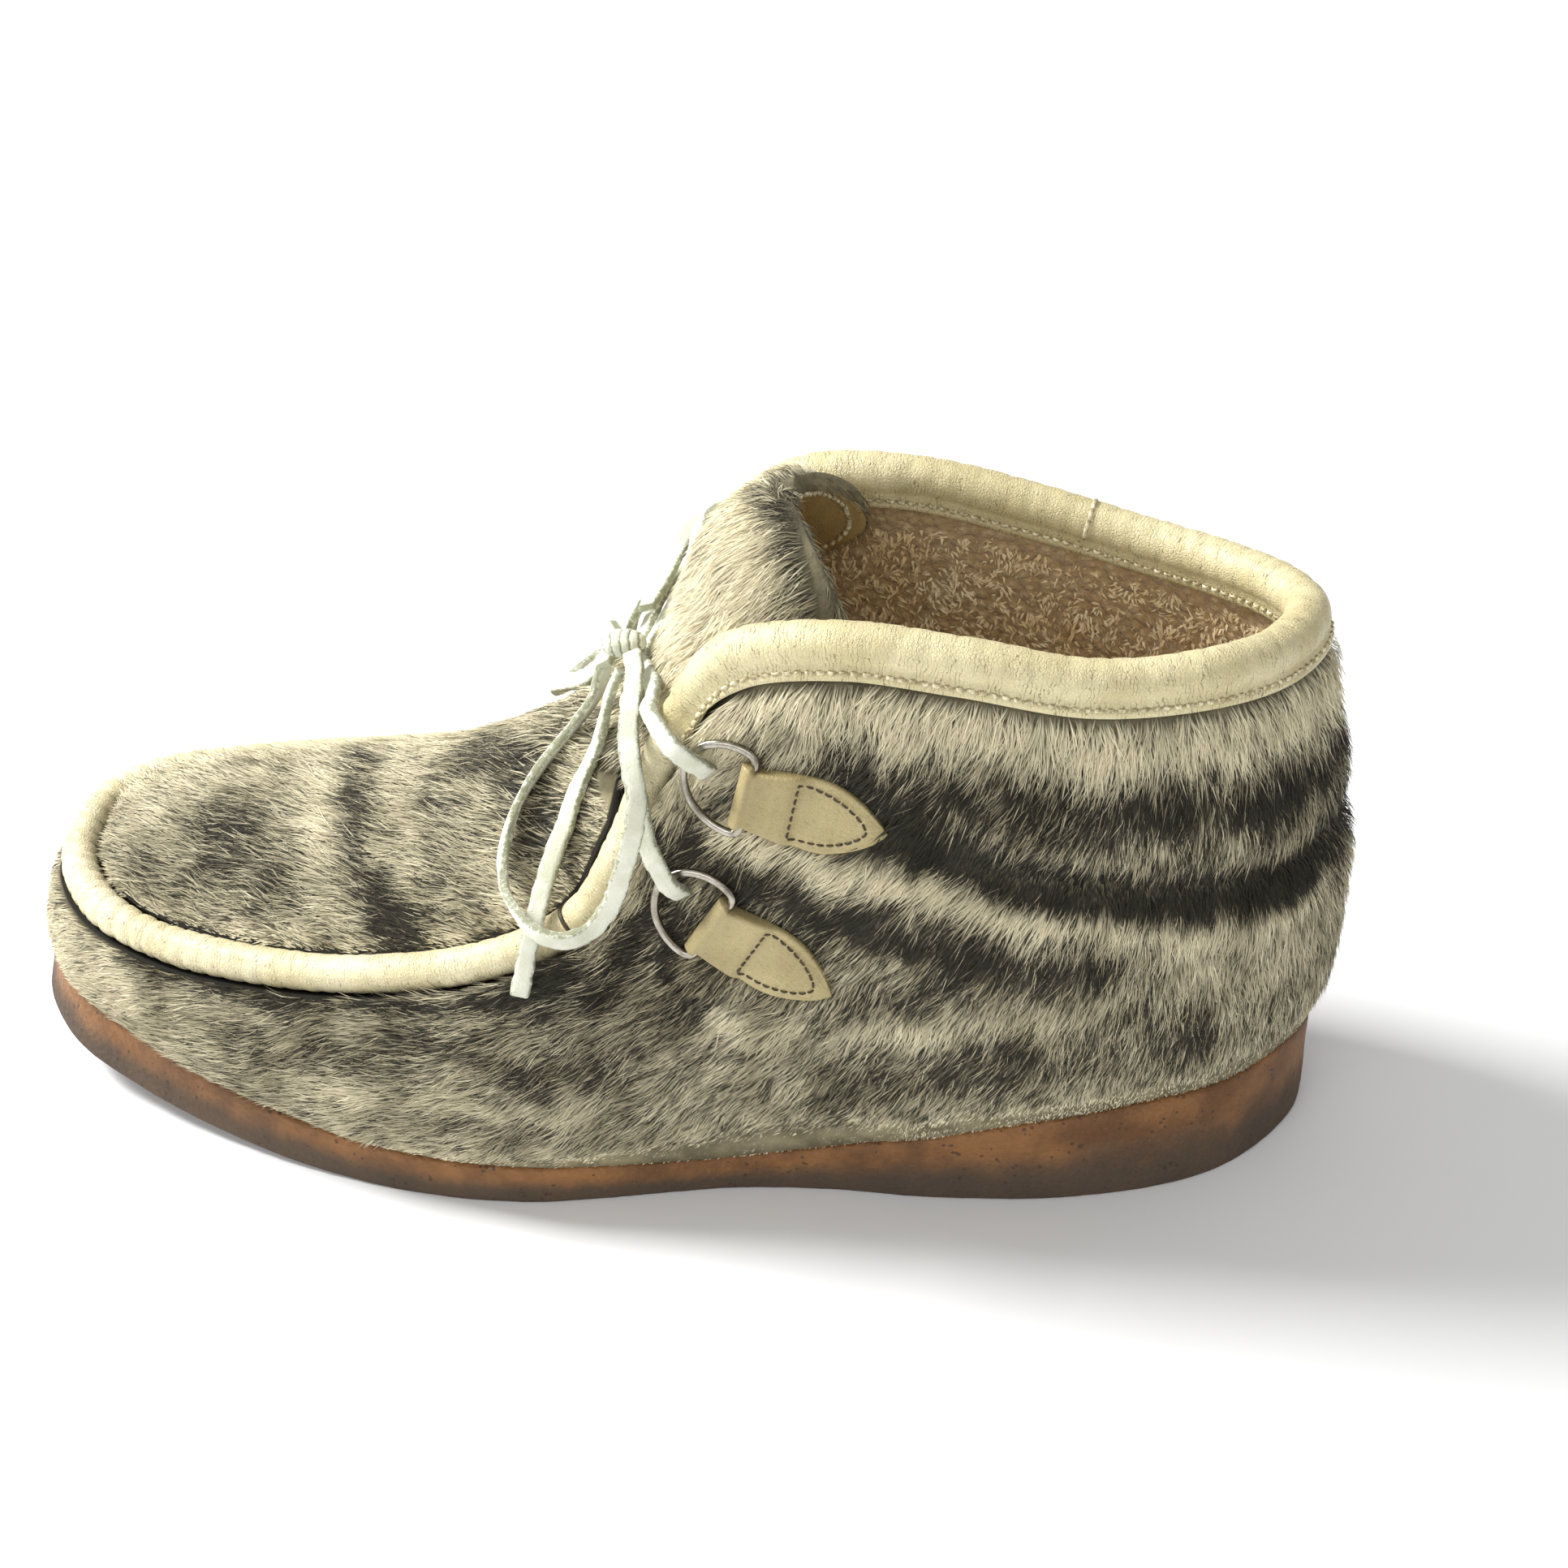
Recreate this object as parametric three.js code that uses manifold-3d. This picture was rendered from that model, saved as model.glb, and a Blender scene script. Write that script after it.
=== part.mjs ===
// Fur moccasin boot for the left foot: a crepe wedge sole, a fur side wall with a padded leather
// roll round the toes, a fur apron and tongue inside that roll, a bound collar, four leather tabs
// with D rings, and a lace tied in a bow over the instep.
// Millimetres, +Z up, toe toward -X, outer side of the foot toward -Y.
import * as THREE from "three";
import Module from "manifold-3d";
import { mergeVertices } from "three/addons/utils/BufferGeometryUtils.js";

const { Manifold, Mesh: SolidMesh, setup } = await prepared();

// Main sizes.
const SOLE_LENGTH = 292;
const BALL_WIDTH = 107;
const COLLAR_HEIGHT = 132;
const HEEL_RISE = 25.5;
const GAP = 0.3;

// Sole and footbed.
const TOE_FLARE = 3;
const FLARE_FROM = 15;
const INSOLE_THICK = 4;
const INSOLE_INSET = 7.6;
const BLOCK_LOW = -5;
const BLOCK_HIGH = 45;

// Wall, apron and tongue: fur hide with its lining.
const WALL_THICK = 5.6;
const APRON_THICK = 4.6;
const TONGUE_THICK = 4;
const APRON_TUCK = 1.75;
const TOE_TUCK = 0.9;
const WALL_INSET = 0.4;
const WALL_SEAT = GAP + 0.15;
const CREASE_DEPTH = 3.2;
const CREASE_SPREAD = 6;
const SWELL_SCALE = 4.8;

// Padded rolls. The wall stops a short way under the centre line of a roll.
const PIPING_RADIUS = 4.3;
const COLLAR_RADIUS = 4.9;
const COLLAR_DROP = COLLAR_RADIUS + 0.1;
const PIPING_DROP = PIPING_RADIUS + GAP + 0.1;
const FLANGE_THICK = 1;
const FLANGE_REACH = 6.8;

// Tabs and rings. A tab starts as a sleeve round the straight side of its ring.
const TAB_LENGTH = 31;
const TAB_WIDTH = 15.6;
const TAB_THICK = 1.8;
const TAB_LIFT = 0.6;
const RING_WIRE = 0.9;
const RING_WIDTH = 19;
const RING_DEPTH = 14.1;
const RING_LEAN = 1.6;
const SLEEVE_BORE = RING_WIRE + 0.6;
const SLEEVE_RADIUS = SLEEVE_BORE + 1.1;
const SLEEVE_WIDTH = 14.4;

// Lace: flat suede.
const LACE_WIDTH = 4.5;
const LACE_THICK = 2;
const KNOT_LENGTH = 10;
const KNOT_WIDTH = 7;
const KNOT_HEIGHT = 6;

// One row for each section of the wall, from the back of the heel along the outer side to the
// toe and back along the inner side. foot is the sole's edge, top the centre line of the roll
// that closes the wall, belly how far the wall swells between them.
const AROUND = [
  { footX: 0.498, footY: 0.028, topX: 0.461, topY: 0.009, topZ: 0.992, belly: 0.049 },
  { footX: 0.477, footY: -0.112, topX: 0.442, topY: -0.150, topZ: 1.004, belly: 0.049 },
  { footX: 0.425, footY: -0.262, topX: 0.397, topY: -0.285, topZ: 1.023, belly: 0.053 },
  { footX: 0.330, footY: -0.366, topX: 0.315, topY: -0.360, topZ: 1.028, belly: 0.061 },
  { footX: 0.226, footY: -0.405, topX: 0.226, topY: -0.377, topZ: 1.059, belly: 0.064 },
  { footX: 0.137, footY: -0.408, topX: 0.144, topY: -0.374, topZ: 1.072, belly: 0.061 },
  { footX: 0.072, footY: -0.426, topX: 0.070, topY: -0.351, topZ: 1.027, belly: 0.053 },
  { footX: 0.027, footY: -0.454, topX: 0.038, topY: -0.336, topZ: 0.924, belly: 0.049 },
  { footX: -0.010, footY: -0.480, topX: 0.012, topY: -0.338, topZ: 0.796, belly: 0.045 },
  { footX: -0.045, footY: -0.503, topX: -0.009, topY: -0.369, topZ: 0.671, belly: 0.042 },
  { footX: -0.079, footY: -0.521, topX: -0.041, topY: -0.402, topZ: 0.542, belly: 0.038 },
  { footX: -0.137, footY: -0.528, topX: -0.113, topY: -0.411, topZ: 0.442, belly: 0.038 },
  { footX: -0.226, footY: -0.497, topX: -0.212, topY: -0.391, topZ: 0.380, belly: 0.034 },
  { footX: -0.322, footY: -0.421, topX: -0.305, topY: -0.336, topZ: 0.349, belly: 0.030 },
  { footX: -0.404, footY: -0.327, topX: -0.380, topY: -0.266, topZ: 0.337, belly: 0.027 },
  { footX: -0.468, footY: -0.224, topX: -0.437, topY: -0.168, topZ: 0.341, belly: 0.023 },
  { footX: -0.506, footY: -0.060, topX: -0.469, topY: -0.028, topZ: 0.351, belly: 0.019 },
  { footX: -0.506, footY: 0.122, topX: -0.469, topY: 0.140, topZ: 0.364, belly: 0.019 },
  { footX: -0.466, footY: 0.276, topX: -0.437, topY: 0.252, topZ: 0.373, belly: 0.023 },
  { footX: -0.394, footY: 0.388, topX: -0.370, topY: 0.318, topZ: 0.379, belly: 0.027 },
  { footX: -0.291, footY: 0.453, topX: -0.274, topY: 0.355, topZ: 0.394, belly: 0.034 },
  { footX: -0.192, footY: 0.472, topX: -0.178, topY: 0.369, topZ: 0.419, belly: 0.038 },
  { footX: -0.103, footY: 0.428, topX: -0.089, topY: 0.369, topZ: 0.468, belly: 0.038 },
  { footX: -0.045, footY: 0.383, topX: -0.034, topY: 0.365, topZ: 0.561, belly: 0.038 },
  { footX: -0.010, footY: 0.355, topX: -0.003, topY: 0.342, topZ: 0.689, belly: 0.042 },
  { footX: 0.024, footY: 0.332, topX: 0.017, topY: 0.325, topZ: 0.818, belly: 0.045 },
  { footX: 0.058, footY: 0.314, topX: 0.041, topY: 0.322, topZ: 0.939, belly: 0.049 },
  { footX: 0.113, footY: 0.299, topX: 0.082, topY: 0.331, topZ: 1.023, belly: 0.057 },
  { footX: 0.185, footY: 0.305, topX: 0.164, topY: 0.344, topZ: 1.038, belly: 0.061 },
  { footX: 0.274, footY: 0.322, topX: 0.257, topY: 0.335, topZ: 1.004, belly: 0.061 },
  { footX: 0.366, footY: 0.318, topX: 0.346, topY: 0.295, topZ: 0.970, belly: 0.057 },
  { footX: 0.442, footY: 0.252, topX: 0.411, topY: 0.206, topZ: 0.970, belly: 0.053 },
  { footX: 0.482, footY: 0.156, topX: 0.445, topY: 0.112, topZ: 0.983, belly: 0.049 },
];
const ROWS = AROUND.length;
const TOE_ROW = 16.5;
const ROW_STEP = 0.5;
const COLLAR_START = 25.58 - ROWS;
const COLLAR_END = 7.38;
const PIPING_START = 7.43;
const PIPING_END = 25.53;

// The sole's side, toe to heel: x in sole lengths, top and bottom in heel rises.
const SOLE_SIDE = [
  { x: -0.530, top: 1.050, bottom: 0.490 },
  { x: -0.460, top: 0.863, bottom: 0.341 },
  { x: -0.380, top: 0.678, bottom: 0.180 },
  { x: -0.285, top: 0.494, bottom: 0.055 },
  { x: -0.190, top: 0.396, bottom: 0 },
  { x: -0.100, top: 0.373, bottom: 0 },
  { x: 0.020, top: 0.345, bottom: 0 },
  { x: 0.100, top: 0.400, bottom: 0 },
  { x: 0.185, top: 0.600, bottom: 0 },
  { x: 0.245, top: 0.749, bottom: 0 },
  { x: 0.300, top: 0.878, bottom: 0 },
  { x: 0.370, top: 0.980, bottom: 0 },
  { x: 0.440, top: 1.008, bottom: 0 },
  { x: 0.530, top: 0.992, bottom: 0 },
];

// The apron's middle line from the toe to the throat. at is the share of the way along.
const APRON_MIDDLE = [
  { at: 0, x: -0.444, y: 0.056, z: 0.358 },
  { at: 0.125, x: -0.422, y: 0.042, z: 0.386 },
  { at: 0.25, x: -0.377, y: 0.028, z: 0.430 },
  { at: 0.4, x: -0.295, y: 0.009, z: 0.474 },
  { at: 0.55, x: -0.205, y: -0.009, z: 0.530 },
  { at: 0.7, x: -0.123, y: -0.019, z: 0.616 },
  { at: 0.85, x: -0.074, y: -0.019, z: 0.680 },
  { at: 1, x: -0.042, y: -0.019, z: 0.728 },
];
const APRON_ROWS_EACH_SIDE = 7.3;

// The tongue from the throat to its tip: the middle of its front, and one edge.
const TONGUE = [
  { midX: -0.0397, midZ: 0.735, edgeX: 0.0012, edgeY: 0.282, edgeZ: 0.727, round: 0.97 },
  { midX: -0.013, midZ: 0.788, edgeX: 0.031, edgeY: 0.272, edgeZ: 0.780, round: 0.8 },
  { midX: 0.009, midZ: 0.856, edgeX: 0.055, edgeY: 0.268, edgeZ: 0.841, round: 0.68 },
  { midX: 0.022, midZ: 0.930, edgeX: 0.089, edgeY: 0.266, edgeZ: 0.909, round: 0.62 },
  { midX: 0.033, midZ: 1.000, edgeX: 0.134, edgeY: 0.248, edgeZ: 0.981, round: 0.6 },
  { midX: 0.045, midZ: 1.058, edgeX: 0.136, edgeY: 0.206, edgeZ: 1.048, round: 0.6 },
  { midX: 0.059, midZ: 1.100, edgeX: 0.124, edgeY: 0.160, edgeZ: 1.092, round: 0.64 },
  { midX: 0.074, midZ: 1.129, edgeX: 0.110, edgeY: 0.110, edgeZ: 1.123, round: 0.75 },
  { midX: 0.087, midZ: 1.147, edgeX: 0.098, edgeY: 0.048, edgeZ: 1.145, round: 0.95 },
];

// The tabs of one side: the middle of the fold, and how far the tab turns down to the heel.
const TABS = [
  { name: "upper", foldX: 0.0767, foldZ: 0.828, turn: -11 },
  { name: "lower", foldX: 0.0531, foldZ: 0.597, turn: -30.8 },
];

// A tab's outline from the front of the sleeve to its tip: along in tab lengths, wide as a share
// of the tab's width, thick as a share of the leather.
const TAB_SHAPE = [
  { along: 0.09, wide: 0.8, thick: 2.67 },
  { along: 0.2, wide: 0.88, thick: 2.3 },
  { along: 0.36, wide: 0.98, thick: 1.8 },
  { along: 0.43, wide: 1, thick: 1.05 },
  { along: 0.54, wide: 0.99, thick: 1 },
  { along: 0.66, wide: 0.86, thick: 1 },
  { along: 0.8, wide: 0.6, thick: 1 },
  { along: 0.92, wide: 0.3, thick: 1 },
  { along: 1, wide: 0.03, thick: 0.8 },
];

// A ring from the middle of its straight side: along in ring depths, across in half widths.
const RING_SHAPE = [
  { along: 0, across: 0 },
  { along: 0, across: 0.82 },
  { along: 0.06, across: 0.95 },
  { along: 0.26, across: 1 },
  { along: 0.56, across: 0.9 },
  { along: 0.84, across: 0.6 },
  { along: 1, across: 0 },
];

// Lace points of the outer side, in sole lengths, ball widths and collar heights. The inner side
// mirrors them. Both bars meet at y = 0.
const LOWER_BAR = [
  { x: 0.0360, y: -0.451, z: 0.631 },
  { x: 0.0288, y: -0.487, z: 0.667 },
  { x: 0.0205, y: -0.484, z: 0.702 },
  { x: 0.0127, y: -0.465, z: 0.735 },
  { x: 0.0065, y: -0.434, z: 0.781 },
  { x: -0.0007, y: -0.392, z: 0.824 },
  { x: -0.0079, y: -0.292, z: 0.842 },
  { x: -0.0171, y: -0.150, z: 0.839 },
  { x: -0.0202, y: 0.000, z: 0.821 },
];
const UPPER_BAR = [
  { x: 0.0548, y: -0.419, z: 0.848 },
  { x: 0.0438, y: -0.451, z: 0.883 },
  { x: 0.0336, y: -0.458, z: 0.906 },
  { x: 0.0212, y: -0.419, z: 0.921 },
  { x: 0.0103, y: -0.358, z: 0.921 },
  { x: 0.0082, y: -0.280, z: 0.912 },
  { x: 0.0027, y: -0.187, z: 0.877 },
  { x: -0.0082, y: -0.084, z: 0.847 },
  { x: -0.0151, y: 0.000, z: 0.835 },
];
const LOOP = [
  { x: -0.0404, y: -0.073, z: 0.848 },
  { x: -0.0466, y: -0.072, z: 0.793 },
  { x: -0.0663, y: -0.103, z: 0.729 },
  { x: -0.0871, y: -0.167, z: 0.682 },
  { x: -0.0995, y: -0.235, z: 0.639 },
  { x: -0.1036, y: -0.301, z: 0.598 },
  { x: -0.0990, y: -0.370, z: 0.574 },
  { x: -0.0857, y: -0.448, z: 0.575 },
  { x: -0.0691, y: -0.507, z: 0.573 },
  { x: -0.0464, y: -0.525, z: 0.567 },
  { x: -0.0268, y: -0.501, z: 0.578 },
  { x: -0.0124, y: -0.487, z: 0.624 },
  { x: -0.0038, y: -0.493, z: 0.686 },
  { x: 0.0058, y: -0.507, z: 0.768 },
  { x: 0.0087, y: -0.495, z: 0.832 },
  { x: 0.0024, y: -0.452, z: 0.877 },
  { x: -0.0042, y: -0.364, z: 0.885 },
  { x: -0.0072, y: -0.276, z: 0.890 },
  { x: -0.0116, y: -0.164, z: 0.885 },
  { x: -0.0178, y: -0.088, z: 0.880 },
];
const END = [
  { x: -0.0253, y: -0.121, z: 0.863 },
  { x: -0.0318, y: -0.139, z: 0.828 },
  { x: -0.0404, y: -0.182, z: 0.747 },
  { x: -0.0508, y: -0.244, z: 0.702 },
  { x: -0.0587, y: -0.293, z: 0.650 },
  { x: -0.0659, y: -0.338, z: 0.609 },
  { x: -0.0700, y: -0.392, z: 0.575 },
  { x: -0.0730, y: -0.462, z: 0.541 },
  { x: -0.0774, y: -0.491, z: 0.485 },
  { x: -0.0805, y: -0.514, z: 0.443 },
];
const KNOT_AT = { x: -0.0281, y: -0.028, z: 0.868 };

// Free cords, left out when the boot is centred.
const CORDS = ["lace_knot", "lace_loop_outer", "lace_loop_inner", "lace_end_outer", "lace_end_inner"];

async function prepared() {
  const wasm = await Module();
  wasm.setup();
  return wasm;
}

function clamp(value, low, high) {
  return Math.min(high, Math.max(low, value));
}

function eased(value) {
  const s = clamp(value, 0, 1);
  return s * s * (3 - 2 * s);
}

// A smooth curve through the rows, read by row number.
function curveThrough(points, closed) {
  const curve = new THREE.CatmullRomCurve3(points, closed, "centripetal");
  const spans = closed ? points.length : points.length - 1;
  return (row) => {
    const share = row / spans;
    return curve.getPoint(closed ? share - Math.floor(share) : clamp(share, 0, 1));
  };
}

// A smooth value between rows of a table, read by one of its columns.
function valueAlong(rows, key, column) {
  return (at) => {
    let i = 1;
    while (i < rows.length - 1 && rows[i][key] < at) i += 1;
    const low = rows[i - 1];
    const high = rows[i];
    const before = rows[Math.max(0, i - 2)];
    const after = rows[Math.min(rows.length - 1, i + 1)];
    const span = high[key] - low[key];
    const s = clamp((at - low[key]) / span, 0, 1);
    const slopeLow = ((high[column] - before[column]) / (high[key] - before[key])) * span;
    const slopeHigh = ((after[column] - low[column]) / (after[key] - low[key])) * span;
    const s2 = s * s;
    const s3 = s2 * s;
    return (
      (2 * s3 - 3 * s2 + 1) * low[column] +
      (s3 - 2 * s2 + s) * slopeLow +
      (3 * s2 - 2 * s3) * high[column] +
      (s3 - s2) * slopeHigh
    );
  };
}

// A closed body through rings of points. Rings have one length, and a ring's first half faces
// its second half, so each end is closed by a strip.
function loft(rings, wrap) {
  const count = rings[0].length;
  const positions = rings.flat().flatMap((p) => [p.x, p.y, p.z]);
  const index = [];
  const last = wrap ? rings.length : rings.length - 1;
  for (let r = 0; r < last; r += 1) {
    const a = r * count;
    const b = ((r + 1) % rings.length) * count;
    for (let k = 0; k < count; k += 1) {
      const next = (k + 1) % count;
      index.push(a + k, a + next, b + next, a + k, b + next, b + k);
    }
  }
  if (!wrap) {
    const end = (rings.length - 1) * count;
    for (let k = 0; k < count / 2 - 1; k += 1) {
      const across = count - 1 - k;
      index.push(k, across - 1, k + 1, k, across, across - 1);
      index.push(end + k, end + k + 1, end + across - 1, end + k, end + across - 1, end + across);
    }
  }
  return facingOut(positions, index);
}

function facingOut(positions, index) {
  const corner = (i) => new THREE.Vector3().fromArray(positions, index[i] * 3);
  let volume = 0;
  for (let i = 0; i < index.length; i += 3) {
    volume += corner(i).dot(corner(i + 1).cross(corner(i + 2)));
  }
  const facing = volume < 0 ? index.slice().reverse() : index;
  const geometry = new THREE.BufferGeometry();
  geometry.setAttribute("position", new THREE.Float32BufferAttribute(positions, 3));
  geometry.setIndex(facing);
  return geometry;
}

function solidOf(geometry) {
  const bare = new THREE.BufferGeometry();
  const flat = geometry.index ? geometry.toNonIndexed() : geometry;
  bare.setAttribute("position", flat.getAttribute("position"));
  const merged = mergeVertices(bare, 1e-4);
  return new Manifold(
    new SolidMesh({
      numProp: 3,
      vertProperties: new Float32Array(merged.attributes.position.array),
      triVerts: new Uint32Array(merged.index.array),
    }),
  );
}

function geometryOf(solid) {
  const made = solid.getMesh();
  const positions = [];
  for (let i = 0; i < made.numVert; i += 1) {
    const at = i * made.numProp;
    positions.push(...made.vertProperties.subarray(at, at + 3));
  }
  const geometry = new THREE.BufferGeometry();
  geometry.setAttribute("position", new THREE.Float32BufferAttribute(positions, 3));
  geometry.setIndex(Array.from(made.triVerts));
  return geometry;
}

// Sole lines.
const footLine = curveThrough(
  AROUND.map((r) => new THREE.Vector3(r.footX * SOLE_LENGTH, r.footY * BALL_WIDTH, 0)),
  true,
);
const topLine = curveThrough(
  AROUND.map(
    (r) => new THREE.Vector3(r.topX * SOLE_LENGTH, r.topY * BALL_WIDTH, r.topZ * COLLAR_HEIGHT),
  ),
  true,
);
const bellyLine = curveThrough(
  AROUND.map((r) => new THREE.Vector3(r.belly * COLLAR_HEIGHT, 0, 0)),
  true,
);
const soleTopShare = valueAlong(SOLE_SIDE, "x", "top");
const soleBottomShare = valueAlong(SOLE_SIDE, "x", "bottom");

function soleTop(x) {
  return soleTopShare(x / SOLE_LENGTH) * HEEL_RISE;
}

function soleBottom(x) {
  return Math.max(0, soleBottomShare(x / SOLE_LENGTH)) * HEEL_RISE;
}

function flare(x) {
  return TOE_FLARE * clamp((FLARE_FROM - x) / (FLARE_FROM + SOLE_LENGTH / 2), 0, 1);
}

// The direction out of the boot, level, at a row of a closed line.
function outward(line, row) {
  const step = 0.05;
  const along = line(row + step).sub(line(row - step));
  return new THREE.Vector3(-along.y, along.x, 0).normalize();
}

function outlineAt(row, inset, z) {
  const p = footLine(row);
  const n = outward(footLine, row);
  return new THREE.Vector3(p.x - n.x * inset, p.y - n.y * inset, z);
}

// A slab between two curved lines of height, as wide as the boot.
function slab(lower, upper) {
  const stations = 44;
  const reach = SOLE_LENGTH * 0.53;
  const shape = new THREE.Shape();
  for (let i = 0; i <= stations; i += 1) {
    const x = reach * ((2 * i) / stations - 1);
    if (i === 0) shape.moveTo(x, lower(x));
    else shape.lineTo(x, lower(x));
  }
  for (let i = stations; i >= 0; i -= 1) {
    const x = reach * ((2 * i) / stations - 1);
    shape.lineTo(x, upper(x));
  }
  const geometry = new THREE.ExtrudeGeometry(shape, {
    depth: BALL_WIDTH * 2,
    bevelEnabled: false,
    steps: 1,
  });
  geometry.translate(0, 0, -BALL_WIDTH);
  geometry.rotateX(Math.PI / 2);
  return solidOf(geometry);
}

// An upright block with the sole's outline, its side leaning in toward the top at the toe.
function outlineBlock(inset, leaning) {
  const points = 88;
  const rings = [BLOCK_LOW, BLOCK_HIGH].map((z) => {
    const ring = [];
    for (let i = 0; i < points; i += 1) {
      const row = (i / points) * ROWS;
      const x = footLine(row).x;
      const lean = leaning ? flare(x) / (soleTop(x) - soleBottom(x)) : 0;
      const extra = leaning ? lean * (z - soleBottom(x)) : flare(x);
      ring.unshift(outlineAt(row, inset + extra, z));
    }
    return ring;
  });
  const flat = rings[0].map((p) => new THREE.Vector2(p.x, p.y));
  const lid = rings[1].map((p) => new THREE.Vector2(p.x, p.y));
  const positions = rings.flat().flatMap((p) => [p.x, p.y, p.z]);
  const index = [];
  for (let k = 0; k < points; k += 1) {
    const next = (k + 1) % points;
    index.push(k, next, points + next, k, points + next, points + k);
  }
  THREE.ShapeUtils.triangulateShape(flat, []).forEach(([a, b, c]) => index.push(a, c, b));
  THREE.ShapeUtils.triangulateShape(lid, []).forEach((face) => {
    index.push(...face.map((v) => v + points));
  });
  return solidOf(facingOut(positions, index));
}

function outsole() {
  return geometryOf(outlineBlock(0, true).intersect(slab(soleBottom, soleTop)));
}

function insole() {
  const low = (x) => soleTop(x) + GAP;
  const high = (x) => soleTop(x) + GAP + INSOLE_THICK;
  return geometryOf(outlineBlock(INSOLE_INSET, false).intersect(slab(low, high)));
}

// The wall's middle surface. share runs from the sole to the roll's centre line.
function wallMiddle(row, share) {
  const n = outward(footLine, row);
  const foot = footLine(row);
  const inset = flare(foot.x) + WALL_INSET + WALL_THICK / 2;
  const base = outlineAt(row, inset, soleTop(foot.x) + WALL_SEAT);
  const p = base.lerp(topLine(row), share);
  const rest = 1 - clamp(share, 0, 1);
  const swell = bellyLine(row).x * SWELL_SCALE * (1 - rest) * Math.pow(rest, 1.3);
  const out = swell - crease(row, p);
  return p.addScaledVector(n, out);
}

// The fold that runs from the upper tab round the heel, deepest over the back.
function crease(row, p) {
  const x = p.x / SOLE_LENGTH;
  const outer = row < TOE_ROW;
  const start = outer ? 0.16 : 0.3;
  const depth = CREASE_DEPTH * eased((x - start) / 0.12);
  const height = COLLAR_HEIGHT * (0.768 - 0.42 * (x - 0.18) + (outer ? 0 : 0.02));
  return depth * Math.exp(-(((p.z - height) / CREASE_SPREAD) ** 2));
}

function distanceToTop(p, row) {
  const reach = 3.5;
  const step = 0.1;
  let best = Infinity;
  const segment = new THREE.Line3();
  const near = new THREE.Vector3();
  for (let r = row - reach; r < row + reach; r += step) {
    segment.set(topLine(r), topLine(r + step));
    segment.closestPointToPoint(p, true, near);
    best = Math.min(best, near.distanceTo(p));
  }
  return best;
}

// How far under the roll's centre line the wall stops.
function rimDrop(row) {
  const fromEnd = Math.min(row - PIPING_START, PIPING_END - row);
  return COLLAR_DROP + (PIPING_DROP - COLLAR_DROP) * eased(fromEnd);
}

// The share at which the wall stops, clear of the roll on its rim.
const rims = new Map();
function rimShare(row) {
  if (!rims.has(row)) {
    const drop = rimDrop(row);
    let low = 0.5;
    let high = 1;
    for (let i = 0; i < 12; i += 1) {
      const share = (low + high) / 2;
      if (distanceToTop(wallMiddle(row, share), row) > drop) low = share;
      else high = share;
    }
    rims.set(row, low);
  }
  return rims.get(row);
}

function wallNormal(row, share) {
  const dr = 0.06;
  const ds = 0.02;
  const low = clamp(share - ds, 0, 1);
  const high = clamp(share + ds, 0, 1);
  const along = wallMiddle(row + dr, share).sub(wallMiddle(row - dr, share));
  const up = wallMiddle(row, high).sub(wallMiddle(row, low));
  const n = along.cross(up).normalize();
  return n.dot(outward(footLine, row)) < 0 ? n.negate() : n;
}

function wallPoint(row, share, side) {
  const p = wallMiddle(row, share).addScaledVector(wallNormal(row, share), side);
  const floor = soleTop(p.x) + WALL_SEAT;
  p.z = share <= 0 ? floor : Math.max(p.z, floor + share);
  return p;
}

function upper() {
  const levels = 10;
  const rings = [];
  for (let row = 0; row < ROWS - ROW_STEP / 2; row += ROW_STEP) {
    const rim = rimShare(row);
    const outer = [];
    const inner = [];
    for (let j = 0; j <= levels; j += 1) {
      const share = (rim * j) / levels;
      outer.push(wallPoint(row, share, WALL_THICK / 2));
      inner.unshift(wallPoint(row, share, -WALL_THICK / 2));
    }
    rings.push([...outer, ...inner]);
  }
  return loft(rings, true);
}

// A bent hide between two edge lines. middle(at), edges(at) and round(at) give its rows.
function hide(rowCount, acrossCount, thick, middle, edges, round) {
  const pointAt = (at, w) => {
    const [outer, inner] = edges(at);
    const lift = Math.pow(Math.max(0, 1 - w * w), round(at));
    const straight = outer.clone().lerp(inner, (1 + w) / 2);
    const half = outer.clone().lerp(inner, 0.5);
    return straight.addScaledVector(middle(at).sub(half), lift);
  };
  const normalAt = (at, w) => {
    const low = Math.max(0, at - 0.01);
    const high = Math.min(1, at + 0.01);
    const along = pointAt(high, w).sub(pointAt(low, w));
    const step = 0.04;
    const left = Math.max(-1, w - step);
    const right = Math.min(1, w + step);
    const across = pointAt(at, right).sub(pointAt(at, left));
    return across.cross(along).normalize();
  };
  const rings = [];
  for (let i = 0; i <= rowCount; i += 1) {
    const at = i / rowCount;
    const front = [];
    const back = [];
    for (let k = 0; k <= acrossCount; k += 1) {
      const w = Math.sin(((2 * k) / acrossCount - 1) * Math.PI * 0.5);
      const n = normalAt(at, w);
      const p = pointAt(at, w);
      front.push(p.clone().addScaledVector(n, thick / 2));
      back.unshift(p.clone().addScaledVector(n, -thick / 2));
    }
    rings.push([...front, ...back]);
  }
  return loft(rings, false);
}

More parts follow.
